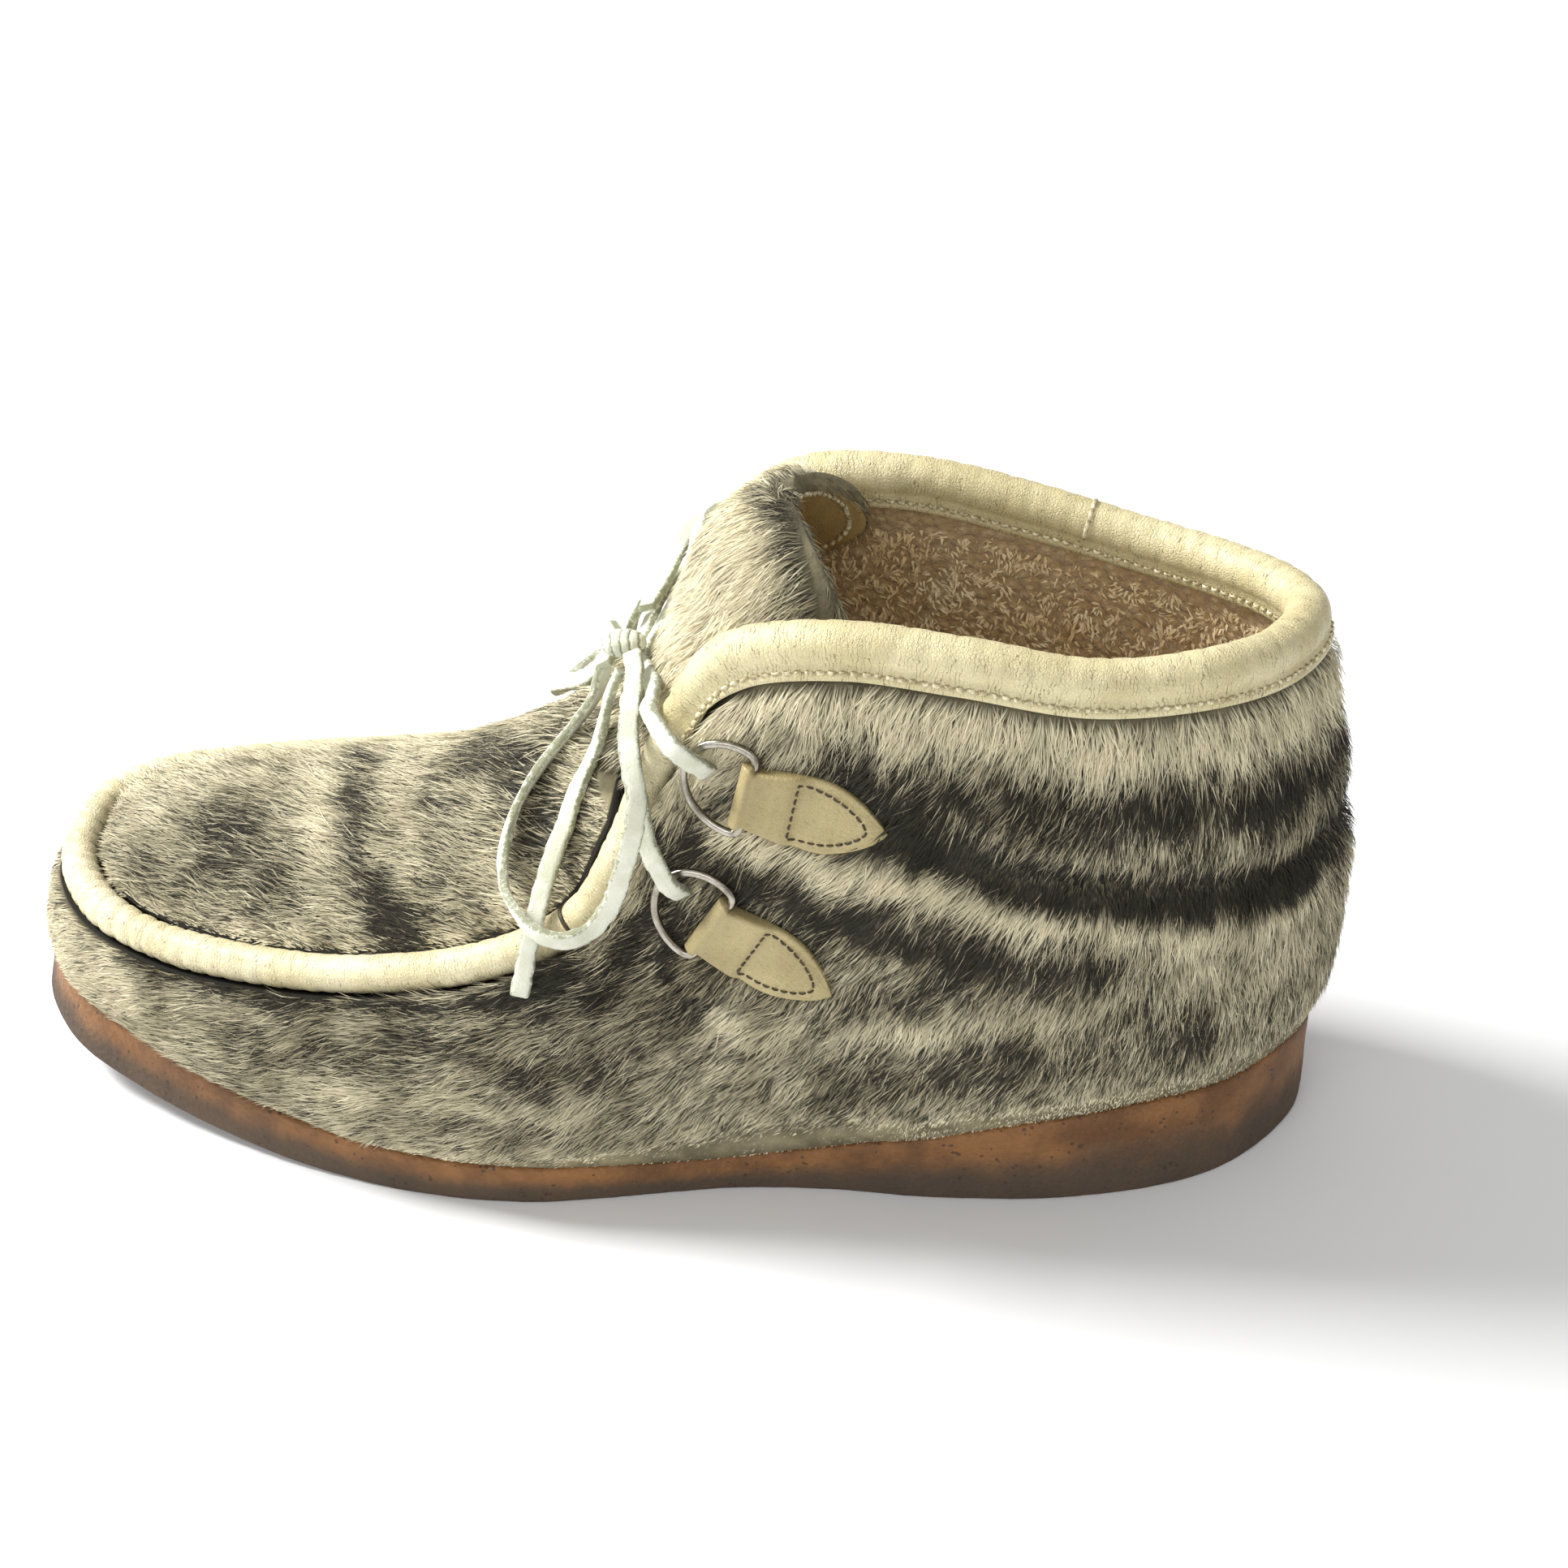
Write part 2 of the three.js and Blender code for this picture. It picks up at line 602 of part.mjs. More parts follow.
function apron() {
  const column = (key) => valueAlong(APRON_MIDDLE, "at", key);
  const [mx, my, mz] = ["x", "y", "z"].map(column);
  const middle = (at) =>
    new THREE.Vector3(mx(at) * SOLE_LENGTH, my(at) * BALL_WIDTH, mz(at) * COLLAR_HEIGHT);
  const edges = (at) => {
    const reach = PIPING_RADIUS + APRON_TUCK + TOE_TUCK * eased(1 - at / 0.2);
    const away = 0.45 + at * APRON_ROWS_EACH_SIDE;
    return [TOE_ROW - away, TOE_ROW + away].map((row) =>
      topLine(row).addScaledVector(outward(topLine, row), -reach),
    );
  };
  return hide(16, 10, APRON_THICK, middle, edges, () => 1);
}

function tongue() {
  const rows = TONGUE.map((r, i) => ({ ...r, at: i / (TONGUE.length - 1) }));
  const column = (key) => valueAlong(rows, "at", key);
  const [mx, mz, ex, ey, ez, rd] = ["midX", "midZ", "edgeX", "edgeY", "edgeZ", "round"].map(column);
  const middle = (at) =>
    new THREE.Vector3(mx(at) * SOLE_LENGTH, -0.01 * BALL_WIDTH, mz(at) * COLLAR_HEIGHT);
  const edges = (at) =>
    [-1, 1].map(
      (side) =>
        new THREE.Vector3(
          ex(at) * SOLE_LENGTH,
          side * ey(at) * BALL_WIDTH,
          ez(at) * COLLAR_HEIGHT,
        ),
    );
  return hide(14, 10, TONGUE_THICK, middle, edges, rd);
}

// The flange is cut back toward the two ends of the collar.
function flangeShare(row) {
  const toEnd = Math.min(COLLAR_END - row, row - COLLAR_START);
  return 0.65 + 0.35 * eased(toEnd / 1.4);
}

// A section swept along the roll's centre line between two rows. Sections are given as
// [outward, up] pairs, and lean with the wall under them.
function sweptRoll(fromRow, toRow, section) {
  const rows = [fromRow];
  for (let i = Math.ceil(fromRow / ROW_STEP + 0.3); i * ROW_STEP < toRow - 0.1; i += 1) {
    rows.push(i * ROW_STEP);
  }
  rows.push(toRow);
  const rings = [];
  for (const row of rows) {
    const reach = flangeShare(row);
    const centre = topLine(row);
    const along = topLine(row + 0.05).sub(topLine(row - 0.05)).normalize();
    const up = centre.clone().sub(wallMiddle(row, rimShare(row)));
    up.addScaledVector(along, -up.dot(along)).normalize();
    const out = along.clone().cross(up).normalize();
    if (out.dot(outward(topLine, row)) < 0) out.negate();
    rings.push(
      section.map(([o, u]) =>
        centre.clone().addScaledVector(out, o).addScaledVector(up, u < -COLLAR_DROP ? u * reach : u),
      ),
    );
  }
  return loft(rings, false);
}

function apronPiping() {
  const sides = 8;
  const section = [];
  for (let k = 0; k < sides; k += 1) {
    const a = (2 * Math.PI * (k + 0.5)) / sides;
    section.push([PIPING_RADIUS * Math.cos(a), PIPING_RADIUS * Math.sin(a)]);
  }
  return sweptRoll(PIPING_START, PIPING_END, section);
}

function collarBinding() {
  const half = WALL_THICK / 2 + GAP + 0.7;
  const skin = half + FLANGE_THICK;
  const r = COLLAR_RADIUS;
  const roof = -COLLAR_DROP + GAP + 0.5;
  const outer = [
    [skin, -FLANGE_REACH],
    [skin + 0.1, -r * 0.75],
    [r, -0.5],
    [r * 0.72, r * 0.7],
    [0, r],
    [-r * 0.72, r * 0.7],
    [-r, -0.5],
    [-skin - 0.1, -r * 0.75],
    [-skin, -FLANGE_REACH],
  ];
  const inner = [
    [-half, -FLANGE_REACH],
    [-half, roof - 1],
    [-half, roof],
    [-half * 0.4, roof],
    [0, roof],
    [half * 0.4, roof],
    [half, roof],
    [half, roof - 1],
    [half, -FLANGE_REACH],
  ];
  return sweptRoll(COLLAR_START, COLLAR_END, [...outer, ...inner]);
}

// The wall's outer face at a given x and z, on the outer (-1) or the inner (1) side.
function wallFace(x, z, side) {
  const [lowRow, highRow] = side < 0 ? [2, 11] : [23, 32];
  const dr = 0.05;
  const ds = 0.02;
  let row = side < 0 ? 6 : 27;
  let share = 0.7;
  for (let i = 0; i < 15; i += 1) {
    const p = wallPoint(row, share, WALL_THICK / 2);
    const byRow = wallPoint(row + dr, share, WALL_THICK / 2).sub(p).divideScalar(dr);
    const byShare = wallPoint(row, share + ds, WALL_THICK / 2).sub(p).divideScalar(ds);
    const det = byRow.x * byShare.z - byRow.z * byShare.x;
    const ex = x - p.x;
    const ez = z - p.z;
    row = clamp(row + clamp((ex * byShare.z - ez * byShare.x) / det, -1, 1), lowRow, highRow);
    share = clamp(share + clamp((byRow.x * ez - byRow.z * ex) / det, -0.3, 0.3), 0.05, 0.97);
  }
  return { at: wallPoint(row, share, WALL_THICK / 2), n: wallNormal(row, share) };
}

// Places a point of a tab or ring: along from the fold to the tip, across it, and above the wall.
// The sleeve and the ring lie in one plane, and the leaf behind them follows the wall.
function tabPlacer(spec, side) {
  const turn = (spec.turn * Math.PI) / 180;
  const fold = new THREE.Vector2(spec.foldX * SOLE_LENGTH, spec.foldZ * COLLAR_HEIGHT);
  const wallAt = (along, across) =>
    wallFace(
      fold.x + along * Math.cos(turn) - across * Math.sin(turn),
      fold.y + along * Math.sin(turn) + across * Math.cos(turn),
      side,
    );
  const { at: origin, n } = wallAt(0, 0);
  const reach = SLEEVE_WIDTH / 2;
  const down = wallAt(reach, 0).at.sub(wallAt(0, 0).at);
  down.addScaledVector(n, -down.dot(n)).normalize();
  const sideways = n.clone().cross(down).multiplyScalar(-side).normalize();
  return (along, across, above) => {
    const flat = origin
      .clone()
      .addScaledVector(down, along)
      .addScaledVector(sideways, across)
      .addScaledVector(n, above);
    const behind = along / SLEEVE_RADIUS - 2;
    if (behind <= 0) return flat;
    const wall = wallAt(along, across);
    return flat.lerp(wall.at.addScaledVector(wall.n, above), eased(behind / 2));
  };
}

function tab(place) {
  const acrossCount = 4;
  const centre = TAB_LIFT + SLEEVE_RADIUS;
  const stations = [8, 38, 66, 90].map((degrees) => {
    const turn = (degrees * Math.PI) / 180;
    const half = SLEEVE_RADIUS * Math.sin(turn);
    return {
      along: SLEEVE_RADIUS * (1 - Math.cos(turn)),
      half: SLEEVE_WIDTH / 2,
      low: centre - half,
      high: centre + half,
    };
  });
  TAB_SHAPE.forEach((row) =>
    stations.push({
      along: row.along * TAB_LENGTH,
      half: (row.wide * TAB_WIDTH) / 2,
      low: TAB_LIFT,
      high: TAB_LIFT + row.thick * TAB_THICK,
    }),
  );
  const rings = stations.map((station) => {
    const front = [];
    const back = [];
    for (let k = 0; k <= acrossCount; k += 1) {
      const across = station.half * ((2 * k) / acrossCount - 1);
      front.push(place(station.along, across, station.high));
      back.unshift(place(station.along, across, station.low));
    }
    return [...front, ...back];
  });
  const bore = new THREE.CylinderGeometry(SLEEVE_BORE, SLEEVE_BORE, SLEEVE_WIDTH * 2, 10);
  const middle = place(SLEEVE_RADIUS, 0, centre);
  const axis = place(SLEEVE_RADIUS, 1, centre).sub(middle).normalize();
  bore.applyQuaternion(
    new THREE.Quaternion().setFromUnitVectors(new THREE.Vector3(0, 1, 0), axis),
  );
  bore.translate(middle.x, middle.y, middle.z);
  return geometryOf(solidOf(loft(rings, false)).subtract(solidOf(bore)));
}

function ring(place) {
  const sides = 6;
  const above = TAB_LIFT + SLEEVE_RADIUS;
  const half = RING_SHAPE.map((row) => [
    SLEEVE_RADIUS - row.along * RING_DEPTH,
    (row.across * RING_WIDTH) / 2,
    row.along * RING_LEAN,
  ]);
  const mirrored = half.slice(1, -1).reverse();
  const spots = [
    ...half.map(([along, across, lean]) => place(along, across + lean, above)),
    ...mirrored.map(([along, across, lean]) => place(along, lean - across, above)),
  ];
  const path = new THREE.CatmullRomCurve3(spots, true, "centripetal");
  const centre = place(0, 0, above);
  const flatNormal = place(0, 0, above + 1).sub(centre).normalize();
  const stations = 16;
  const rings = [];
  for (let i = 0; i < stations; i += 1) {
    const p = path.getPointAt(i / stations);
    const out = path.getTangentAt(i / stations).cross(flatNormal).normalize();
    const section = [];
    for (let k = 0; k < sides; k += 1) {
      const a = (2 * Math.PI * k) / sides;
      section.push(
        p
          .clone()
          .addScaledVector(out, RING_WIRE * Math.cos(a))
          .addScaledVector(flatNormal, RING_WIRE * Math.sin(a)),
      );
    }
    rings.push(section);
  }
  return loft(rings, true);
}

function lacePoints(rows, side) {
  return rows.map(
    (r) => new THREE.Vector3(r.x * SOLE_LENGTH, -side * r.y * BALL_WIDTH, r.z * COLLAR_HEIGHT),
  );
}

// The way a lace's flat face looks: up and forward at the middle, sideways at the walls.
function awayFromFoot(p) {
  const beside = eased((Math.abs(p.y) / BALL_WIDTH - 0.12) / 0.3);
  return new THREE.Vector3(
    -0.75 * (1 - beside),
    -beside * Math.sign(-p.y),
    0.65 * (1 - beside) + 0.2 * beside,
  ).normalize();
}

// A flat lace along a smooth curve, facing the way that faceAt gives.
function ribbon(points, stations, faceAt) {
  const path = new THREE.CatmullRomCurve3(points, false, "centripetal");
  const a = LACE_WIDTH / 2;
  const b = LACE_THICK / 2;
  const section = [
    [-a, -b / 2],
    [-a * 0.85, -b],
    [a * 0.85, -b],
    [a, -b / 2],
    [a, b / 2],
    [a * 0.85, b],
    [-a * 0.85, b],
    [-a, b / 2],
  ];
  const rings = [];
  for (let i = 0; i <= stations; i += 1) {
    const p = path.getPointAt(i / stations);
    const along = path.getTangentAt(i / stations);
    const face = faceAt(p, along);
    face.addScaledVector(along, -face.dot(along)).normalize();
    const wide = along.clone().cross(face).normalize();
    rings.push(
      section.map(([w, t]) => p.clone().addScaledVector(wide, w).addScaledVector(face, t)),
    );
  }
  return loft(rings, false);
}

function laceBars() {
  const across = (rows) => [
    ...lacePoints(rows, -1),
    ...lacePoints(rows.slice(0, -1), 1).reverse(),
  ];
  const lower = ribbon(across(LOWER_BAR), 28, awayFromFoot);
  const upper = ribbon(across(UPPER_BAR), 22, awayFromFoot);
  return geometryOf(solidOf(lower).add(solidOf(upper)));
}

function laceLoop(side) {
  const points = lacePoints(LOOP, side);
  const centre = new THREE.Vector3();
  points.forEach((p) => centre.addScaledVector(p, 1 / points.length));
  const face = (p) => {
    const out = p.clone().sub(centre).normalize();
    return awayFromFoot(p).multiplyScalar(0.9).add(out.multiplyScalar(0.6));
  };
  return ribbon(points, 24, face);
}

function laceEnd(side) {
  return ribbon(lacePoints(END, side), 13, awayFromFoot);
}

function laceKnot() {
  const [centre] = lacePoints([KNOT_AT], -1);
  const sides = 8;
  const rings = [-0.97, -0.75, -0.35, 0.35, 0.75, 0.97].map((share) => {
    const round = Math.sqrt(1 - share * share);
    const section = [];
    for (let k = 0; k < sides; k += 1) {
      const a = (2 * Math.PI * (k + 0.5)) / sides;
      section.push(
        new THREE.Vector3(
          centre.x + (share * KNOT_LENGTH) / 2,
          centre.y + (round * Math.cos(a) * KNOT_WIDTH) / 2,
          centre.z + (round * Math.sin(a) * KNOT_HEIGHT) / 2,
        ),
      );
    }
    return section;
  });
  return loft(rings, false);
}

const boot = new THREE.Group();

function piece(name, geometry, colour, roughness, metalness) {
  const material = new THREE.MeshStandardMaterial({ color: colour, roughness, metalness });
  const mesh = new THREE.Mesh(geometry, material);
  mesh.name = name;
  boot.add(mesh);
}

piece("outsole", outsole(), 0x9a6233, 0.75, 0);
piece("insole", insole(), 0xa8875a, 0.95, 0);
piece("upper", upper(), 0xb9b39a, 0.95, 0);
piece("apron", apron(), 0xb7b297, 0.95, 0);
piece("tongue", tongue(), 0xb2aa95, 0.95, 0);
piece("apron_piping", apronPiping(), 0xd9d0ab, 0.6, 0);
piece("collar_binding", collarBinding(), 0xd3caa3, 0.6, 0);
for (const [side, sideName] of [[-1, "outer"], [1, "inner"]]) {
  for (const spec of TABS) {
    const place = tabPlacer(spec, side);
    piece(`tab_${spec.name}_${sideName}`, tab(place), 0xcfc294, 0.6, 0);
    piece(`ring_${spec.name}_${sideName}`, ring(place), 0xb9bcc0, 0.25, 1);
  }
  piece(`lace_loop_${sideName}`, laceLoop(side), 0xe6e6cf, 0.9, 0);
  piece(`lace_end_${sideName}`, laceEnd(side), 0xe6e6cf, 0.9, 0);
}
piece("lace_bars", laceBars(), 0xe6e6cf, 0.9, 0);
piece("lace_knot", laceKnot(), 0xe6e6cf, 0.9, 0);

// The boot stands with the middle of its outline over the origin.
const outline = new THREE.Box3();
boot.children
  .filter((mesh) => !CORDS.includes(mesh.name))
  .forEach((mesh) => outline.expandByObject(mesh));
const middle = outline.getCenter(new THREE.Vector3());
boot.position.set(-middle.x, -middle.y, -outline.min.z);

export default boot;
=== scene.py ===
# Fur moccasin boot for the left foot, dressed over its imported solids.
# Lengths in the tables are shares of the main sizes. Shapes are worked out in millimetres and made
# in metres. Toe toward -X, outer side of the foot toward -Y, +Z up.
import math

import bpy
import numpy as np
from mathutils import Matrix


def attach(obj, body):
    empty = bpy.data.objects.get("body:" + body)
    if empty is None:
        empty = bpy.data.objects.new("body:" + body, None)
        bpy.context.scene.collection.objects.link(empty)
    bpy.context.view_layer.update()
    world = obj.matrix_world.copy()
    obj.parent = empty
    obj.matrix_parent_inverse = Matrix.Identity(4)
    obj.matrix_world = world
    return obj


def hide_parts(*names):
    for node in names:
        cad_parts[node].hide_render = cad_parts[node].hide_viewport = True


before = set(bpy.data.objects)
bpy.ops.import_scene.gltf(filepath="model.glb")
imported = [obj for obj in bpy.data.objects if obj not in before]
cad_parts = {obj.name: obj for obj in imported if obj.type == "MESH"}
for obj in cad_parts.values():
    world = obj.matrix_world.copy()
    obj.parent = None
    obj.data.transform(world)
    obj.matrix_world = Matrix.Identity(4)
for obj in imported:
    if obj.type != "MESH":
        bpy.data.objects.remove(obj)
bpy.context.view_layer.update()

# Main sizes.
SOLE_LENGTH = 292
BALL_WIDTH = 107
COLLAR_HEIGHT = 132
HEEL_RISE = 25.5
GAP = 0.3
CENTRING = np.array([0.277, 2.009, 0.0])
METRES = 0.001

# Sole and footbed.
TOE_FLARE = 3
FLARE_FROM = 15
INSOLE_THICK = 4
INSOLE_INSET = 7.6

# Wall, apron and tongue.
WALL_THICK = 5.6
APRON_THICK = 4.6
TONGUE_THICK = 4
APRON_TUCK = 1.75
TOE_TUCK = 0.9
WALL_INSET = 0.4
WALL_SEAT = GAP + 0.15
CREASE_DEPTH = 3.2
CREASE_SPREAD = 6
SWELL_SCALE = 4.8

# Padded rolls.
PIPING_RADIUS = 4.3
COLLAR_RADIUS = 4.9
COLLAR_DROP = COLLAR_RADIUS + 0.1
PIPING_DROP = PIPING_RADIUS + GAP + 0.1
FLANGE_THICK = 1
FLANGE_REACH = 6.0
SEAM_DEPTH = 4.1
PIPING_JOIN_ROW = 10.1
COLLAR_JOIN_ROW = -3.5

# Tabs and rings.
TAB_LENGTH = 31
TAB_WIDTH = 15.6
TAB_THICK = 1.8
TAB_LIFT = 0.6
RING_WIRE = 0.9
RING_WIDTH = 19
RING_DEPTH = 14.1
RING_LEAN = 1.6
SLEEVE_BORE = RING_WIRE + 0.6
SLEEVE_RADIUS = SLEEVE_BORE + 1.1
SLEEVE_WIDTH = 14.4

# Lace.
LACE_WIDTH = 4.5
LACE_THICK = 2
LACE_WORN = 0.9
KNOT_LENGTH = 10
KNOT_WIDTH = 7
KNOT_HEIGHT = 6

# Stitches, from one to the next.
TAB_STITCH = 1.9
COLLAR_STITCH = 2.3
TONGUE_STITCH = 2.1

# Steps of the wall's skin and of the rolls, in rows of the table below.
WALL_STEP = 0.15
ROLL_STEP = 0.045

# One row for each section of the wall, from the back of the heel along the outer side to the toe
# and back along the inner side.
AROUND_COLUMNS = ("footX", "footY", "topX", "topY", "topZ", "belly")
AROUND = [
    (0.498, 0.028, 0.461, 0.009, 0.992, 0.049), (0.477, -0.112, 0.442, -0.150, 1.004, 0.049),
    (0.425, -0.262, 0.397, -0.285, 1.023, 0.053), (0.330, -0.366, 0.315, -0.360, 1.028, 0.061),
    (0.226, -0.405, 0.226, -0.377, 1.059, 0.064), (0.137, -0.408, 0.144, -0.374, 1.072, 0.061),
    (0.072, -0.426, 0.070, -0.351, 1.027, 0.053), (0.027, -0.454, 0.038, -0.336, 0.924, 0.049),
    (-0.010, -0.480, 0.012, -0.338, 0.796, 0.045), (-0.045, -0.503, -0.009, -0.369, 0.671, 0.042),
    (-0.079, -0.521, -0.041, -0.402, 0.542, 0.038), (-0.137, -0.528, -0.113, -0.411, 0.442, 0.038),
    (-0.226, -0.497, -0.212, -0.391, 0.380, 0.034), (-0.322, -0.421, -0.305, -0.336, 0.349, 0.030),
    (-0.404, -0.327, -0.380, -0.266, 0.337, 0.027), (-0.468, -0.224, -0.437, -0.168, 0.341, 0.023),
    (-0.506, -0.060, -0.469, -0.028, 0.351, 0.019), (-0.506, 0.122, -0.469, 0.140, 0.364, 0.019),
    (-0.466, 0.276, -0.437, 0.252, 0.373, 0.023), (-0.394, 0.388, -0.370, 0.318, 0.379, 0.027),
    (-0.291, 0.453, -0.274, 0.355, 0.394, 0.034), (-0.192, 0.472, -0.178, 0.369, 0.419, 0.038),
    (-0.103, 0.428, -0.089, 0.369, 0.468, 0.038), (-0.045, 0.383, -0.034, 0.365, 0.561, 0.038),
    (-0.010, 0.355, -0.003, 0.342, 0.689, 0.042), (0.024, 0.332, 0.017, 0.325, 0.818, 0.045),
    (0.058, 0.314, 0.041, 0.322, 0.939, 0.049), (0.113, 0.299, 0.082, 0.331, 1.023, 0.057),
    (0.185, 0.305, 0.164, 0.344, 1.038, 0.061), (0.274, 0.322, 0.257, 0.335, 1.004, 0.061),
    (0.366, 0.318, 0.346, 0.295, 0.970, 0.057), (0.442, 0.252, 0.411, 0.206, 0.970, 0.053),
    (0.482, 0.156, 0.445, 0.112, 0.983, 0.049),
]

# The sole's side, toe to heel: x in sole lengths, top and bottom in heel rises.
SOLE_SIDE_COLUMNS = ("x", "top", "bottom")
SOLE_SIDE = [
    (-0.530, 1.050, 0.490), (-0.460, 0.863, 0.341), (-0.380, 0.678, 0.180), (-0.285, 0.494, 0.055),
    (-0.190, 0.396, 0), (-0.100, 0.373, 0), (0.020, 0.345, 0), (0.100, 0.400, 0), (0.185, 0.600, 0),
    (0.245, 0.749, 0), (0.300, 0.878, 0), (0.370, 0.980, 0), (0.440, 1.008, 0), (0.530, 0.992, 0),
]

# The apron's middle line from the toe to the throat.
APRON_MIDDLE_COLUMNS = ("at", "x", "y", "z")
APRON_MIDDLE = [
    (0, -0.444, 0.056, 0.358), (0.125, -0.422, 0.042, 0.386), (0.25, -0.377, 0.028, 0.430),
    (0.4, -0.295, 0.009, 0.474), (0.55, -0.205, -0.009, 0.530), (0.7, -0.123, -0.019, 0.616),
    (0.85, -0.074, -0.019, 0.680), (1, -0.042, -0.019, 0.728),
]

# The tongue from the throat to its tip.
TONGUE_COLUMNS = ("midX", "midZ", "edgeX", "edgeY", "edgeZ", "round")
TONGUE = [
    (-0.0397, 0.735, 0.0012, 0.282, 0.727, 0.97), (-0.013, 0.788, 0.031, 0.272, 0.780, 0.8),
    (0.009, 0.856, 0.055, 0.268, 0.841, 0.68), (0.022, 0.930, 0.089, 0.266, 0.909, 0.62),
    (0.033, 1.000, 0.134, 0.248, 0.981, 0.6), (0.045, 1.058, 0.136, 0.206, 1.048, 0.6),
    (0.059, 1.100, 0.124, 0.160, 1.092, 0.64), (0.074, 1.129, 0.110, 0.110, 1.123, 0.75),
    (0.087, 1.147, 0.098, 0.048, 1.145, 0.95),
]

# The tabs of one side: name, x and z of the fold's middle, and the turn from level in degrees.
TABS = [("upper", 0.0767, 0.828, -11), ("lower", 0.0531, 0.597, -30.8)]

# A tab's outline from the front of the sleeve to its tip.
TAB_SHAPE_COLUMNS = ("along", "wide", "thick")
TAB_SHAPE = [
    (0.09, 0.8, 2.67), (0.2, 0.88, 2.3), (0.36, 1, 1.8), (0.43, 1.03, 1.05), (0.54, 1.05, 1),
    (0.66, 0.97, 1), (0.8, 0.72, 1), (0.92, 0.37, 1), (1, 0.04, 0.8),
]

# Half a ring from the middle of its straight side, as the way along and across.
RING_SHAPE = [(0, 0), (0, 0.82), (0.06, 0.95), (0.26, 1), (0.56, 0.9), (0.84, 0.6), (1, 0)]

# Lace points of the outer side, as x, y and z. The inner side mirrors them.
LOWER_BAR = [
    (0.0360, -0.451, 0.631), (0.0288, -0.487, 0.667), (0.0205, -0.484, 0.702), (0.0127, -0.465, 0.735),
    (0.0065, -0.434, 0.781), (-0.0007, -0.392, 0.824), (-0.0079, -0.292, 0.842),
    (-0.0171, -0.150, 0.839), (-0.0202, 0.000, 0.821),
]

UPPER_BAR = [
    (0.0548, -0.419, 0.848), (0.0438, -0.451, 0.883), (0.0336, -0.458, 0.906), (0.0212, -0.419, 0.921),
    (0.0103, -0.358, 0.921), (0.0082, -0.280, 0.912), (0.0027, -0.187, 0.877), (-0.0082, -0.084, 0.847),
    (-0.0151, 0.000, 0.835),
]

LOOP = [
    (-0.0404, -0.073, 0.848), (-0.0466, -0.072, 0.793), (-0.0663, -0.103, 0.729),
    (-0.0871, -0.167, 0.682), (-0.0995, -0.235, 0.639), (-0.1036, -0.301, 0.598),
    (-0.0990, -0.370, 0.574), (-0.0857, -0.448, 0.575), (-0.0691, -0.507, 0.573),
    (-0.0464, -0.525, 0.567), (-0.0268, -0.501, 0.578), (-0.0124, -0.487, 0.624),
    (-0.0038, -0.493, 0.686), (0.0058, -0.507, 0.768), (0.0087, -0.495, 0.832), (0.0024, -0.452, 0.877),
    (-0.0042, -0.364, 0.885), (-0.0072, -0.276, 0.890), (-0.0116, -0.164, 0.885),
    (-0.0178, -0.088, 0.880),
]

END = [
    (-0.0253, -0.121, 0.863), (-0.0318, -0.139, 0.828), (-0.0404, -0.182, 0.747),
    (-0.0508, -0.244, 0.702), (-0.0587, -0.293, 0.650), (-0.0659, -0.338, 0.609),
    (-0.0700, -0.392, 0.575), (-0.0730, -0.462, 0.541), (-0.0774, -0.491, 0.485),
    (-0.0805, -0.514, 0.443),
]
KNOT_AT = (-0.0281, -0.028, 0.868)

ROWS = len(AROUND)
TOE_ROW = 16.5
COLLAR_START = 25.58 - ROWS
COLLAR_END = 7.38
PIPING_START = 7.43
PIPING_END = 25.53
APRON_ROWS_EACH_SIDE = 7.3


def column(table, names, name):
    at = names.index(name)
    return np.array([row[at] for row in table], float)


def eased(value):
    s = np.clip(value, 0, 1)
    return s * s * (3 - 2 * s)


def length_of(vectors):
    return np.sqrt((vectors * vectors).sum(-1))


def unit(vectors):
    return vectors / np.maximum(length_of(vectors), 1e-9)[..., None]


def dot(a, b):
    return (a * b).sum(-1)


def point(x, y, z):
    return np.stack(np.broadcast_arrays(x, y, z), -1).astype(float)


def run_along(line):
    """How far along a line of points each of them lies."""
    return np.concatenate([[0], np.cumsum(length_of(np.diff(line, axis=0)))])


def full_turn(steps):
    return np.linspace(0, 2 * np.pi, steps, endpoint=False)


def oval(wide, high, steps):
    """Points round an oval section, as (wide, high) pairs."""
    angle = full_turn(steps)
    return np.stack([wide * np.cos(angle), high * np.sin(angle)], -1)


def mirrored(side):
    """The other half of a section, from its (wide, high) pairs in turn."""
    return [(-x, y) for x, y in side[::-1]]


def read_grid(grid, i, k, down, across):
    """The value inside cell i, k of a grid, at shares of the way down and across the cell."""
    if grid.ndim > 2:
        down = down[..., None]
        across = across[..., None]
    low = grid[i, k] * (1 - across) + grid[i, k + 1] * across
    high = grid[i + 1, k] * (1 - across) + grid[i + 1, k + 1] * across
    return low * (1 - down) + high * down


def smooth_span(p0, p1, p2, p3, share):
    """The span from p1 to p2 of a smooth curve through four points."""
    d0 = length_of(p1 - p0)[..., None] ** 0.5
    d1 = length_of(p2 - p1)[..., None] ** 0.5
    d2 = length_of(p3 - p2)[..., None] ** 0.5
    d1 = np.where(d1 < 1e-4, 1.0, d1)
    d0 = np.where(d0 < 1e-4, d1, d0)
    d2 = np.where(d2 < 1e-4, d1, d2)
    slope1 = ((p1 - p0) / d0 - (p2 - p0) / (d0 + d1) + (p2 - p1) / d1) * d1
    slope2 = ((p2 - p1) / d1 - (p3 - p1) / (d1 + d2) + (p3 - p2) / d2) * d1
    s = share[..., None]
    square = -3 * p1 + 3 * p2 - 2 * slope1 - slope2
    cube = 2 * p1 - 2 * p2 + slope1 + slope2
    return p1 + s * (slope1 + s * (square + s * cube))


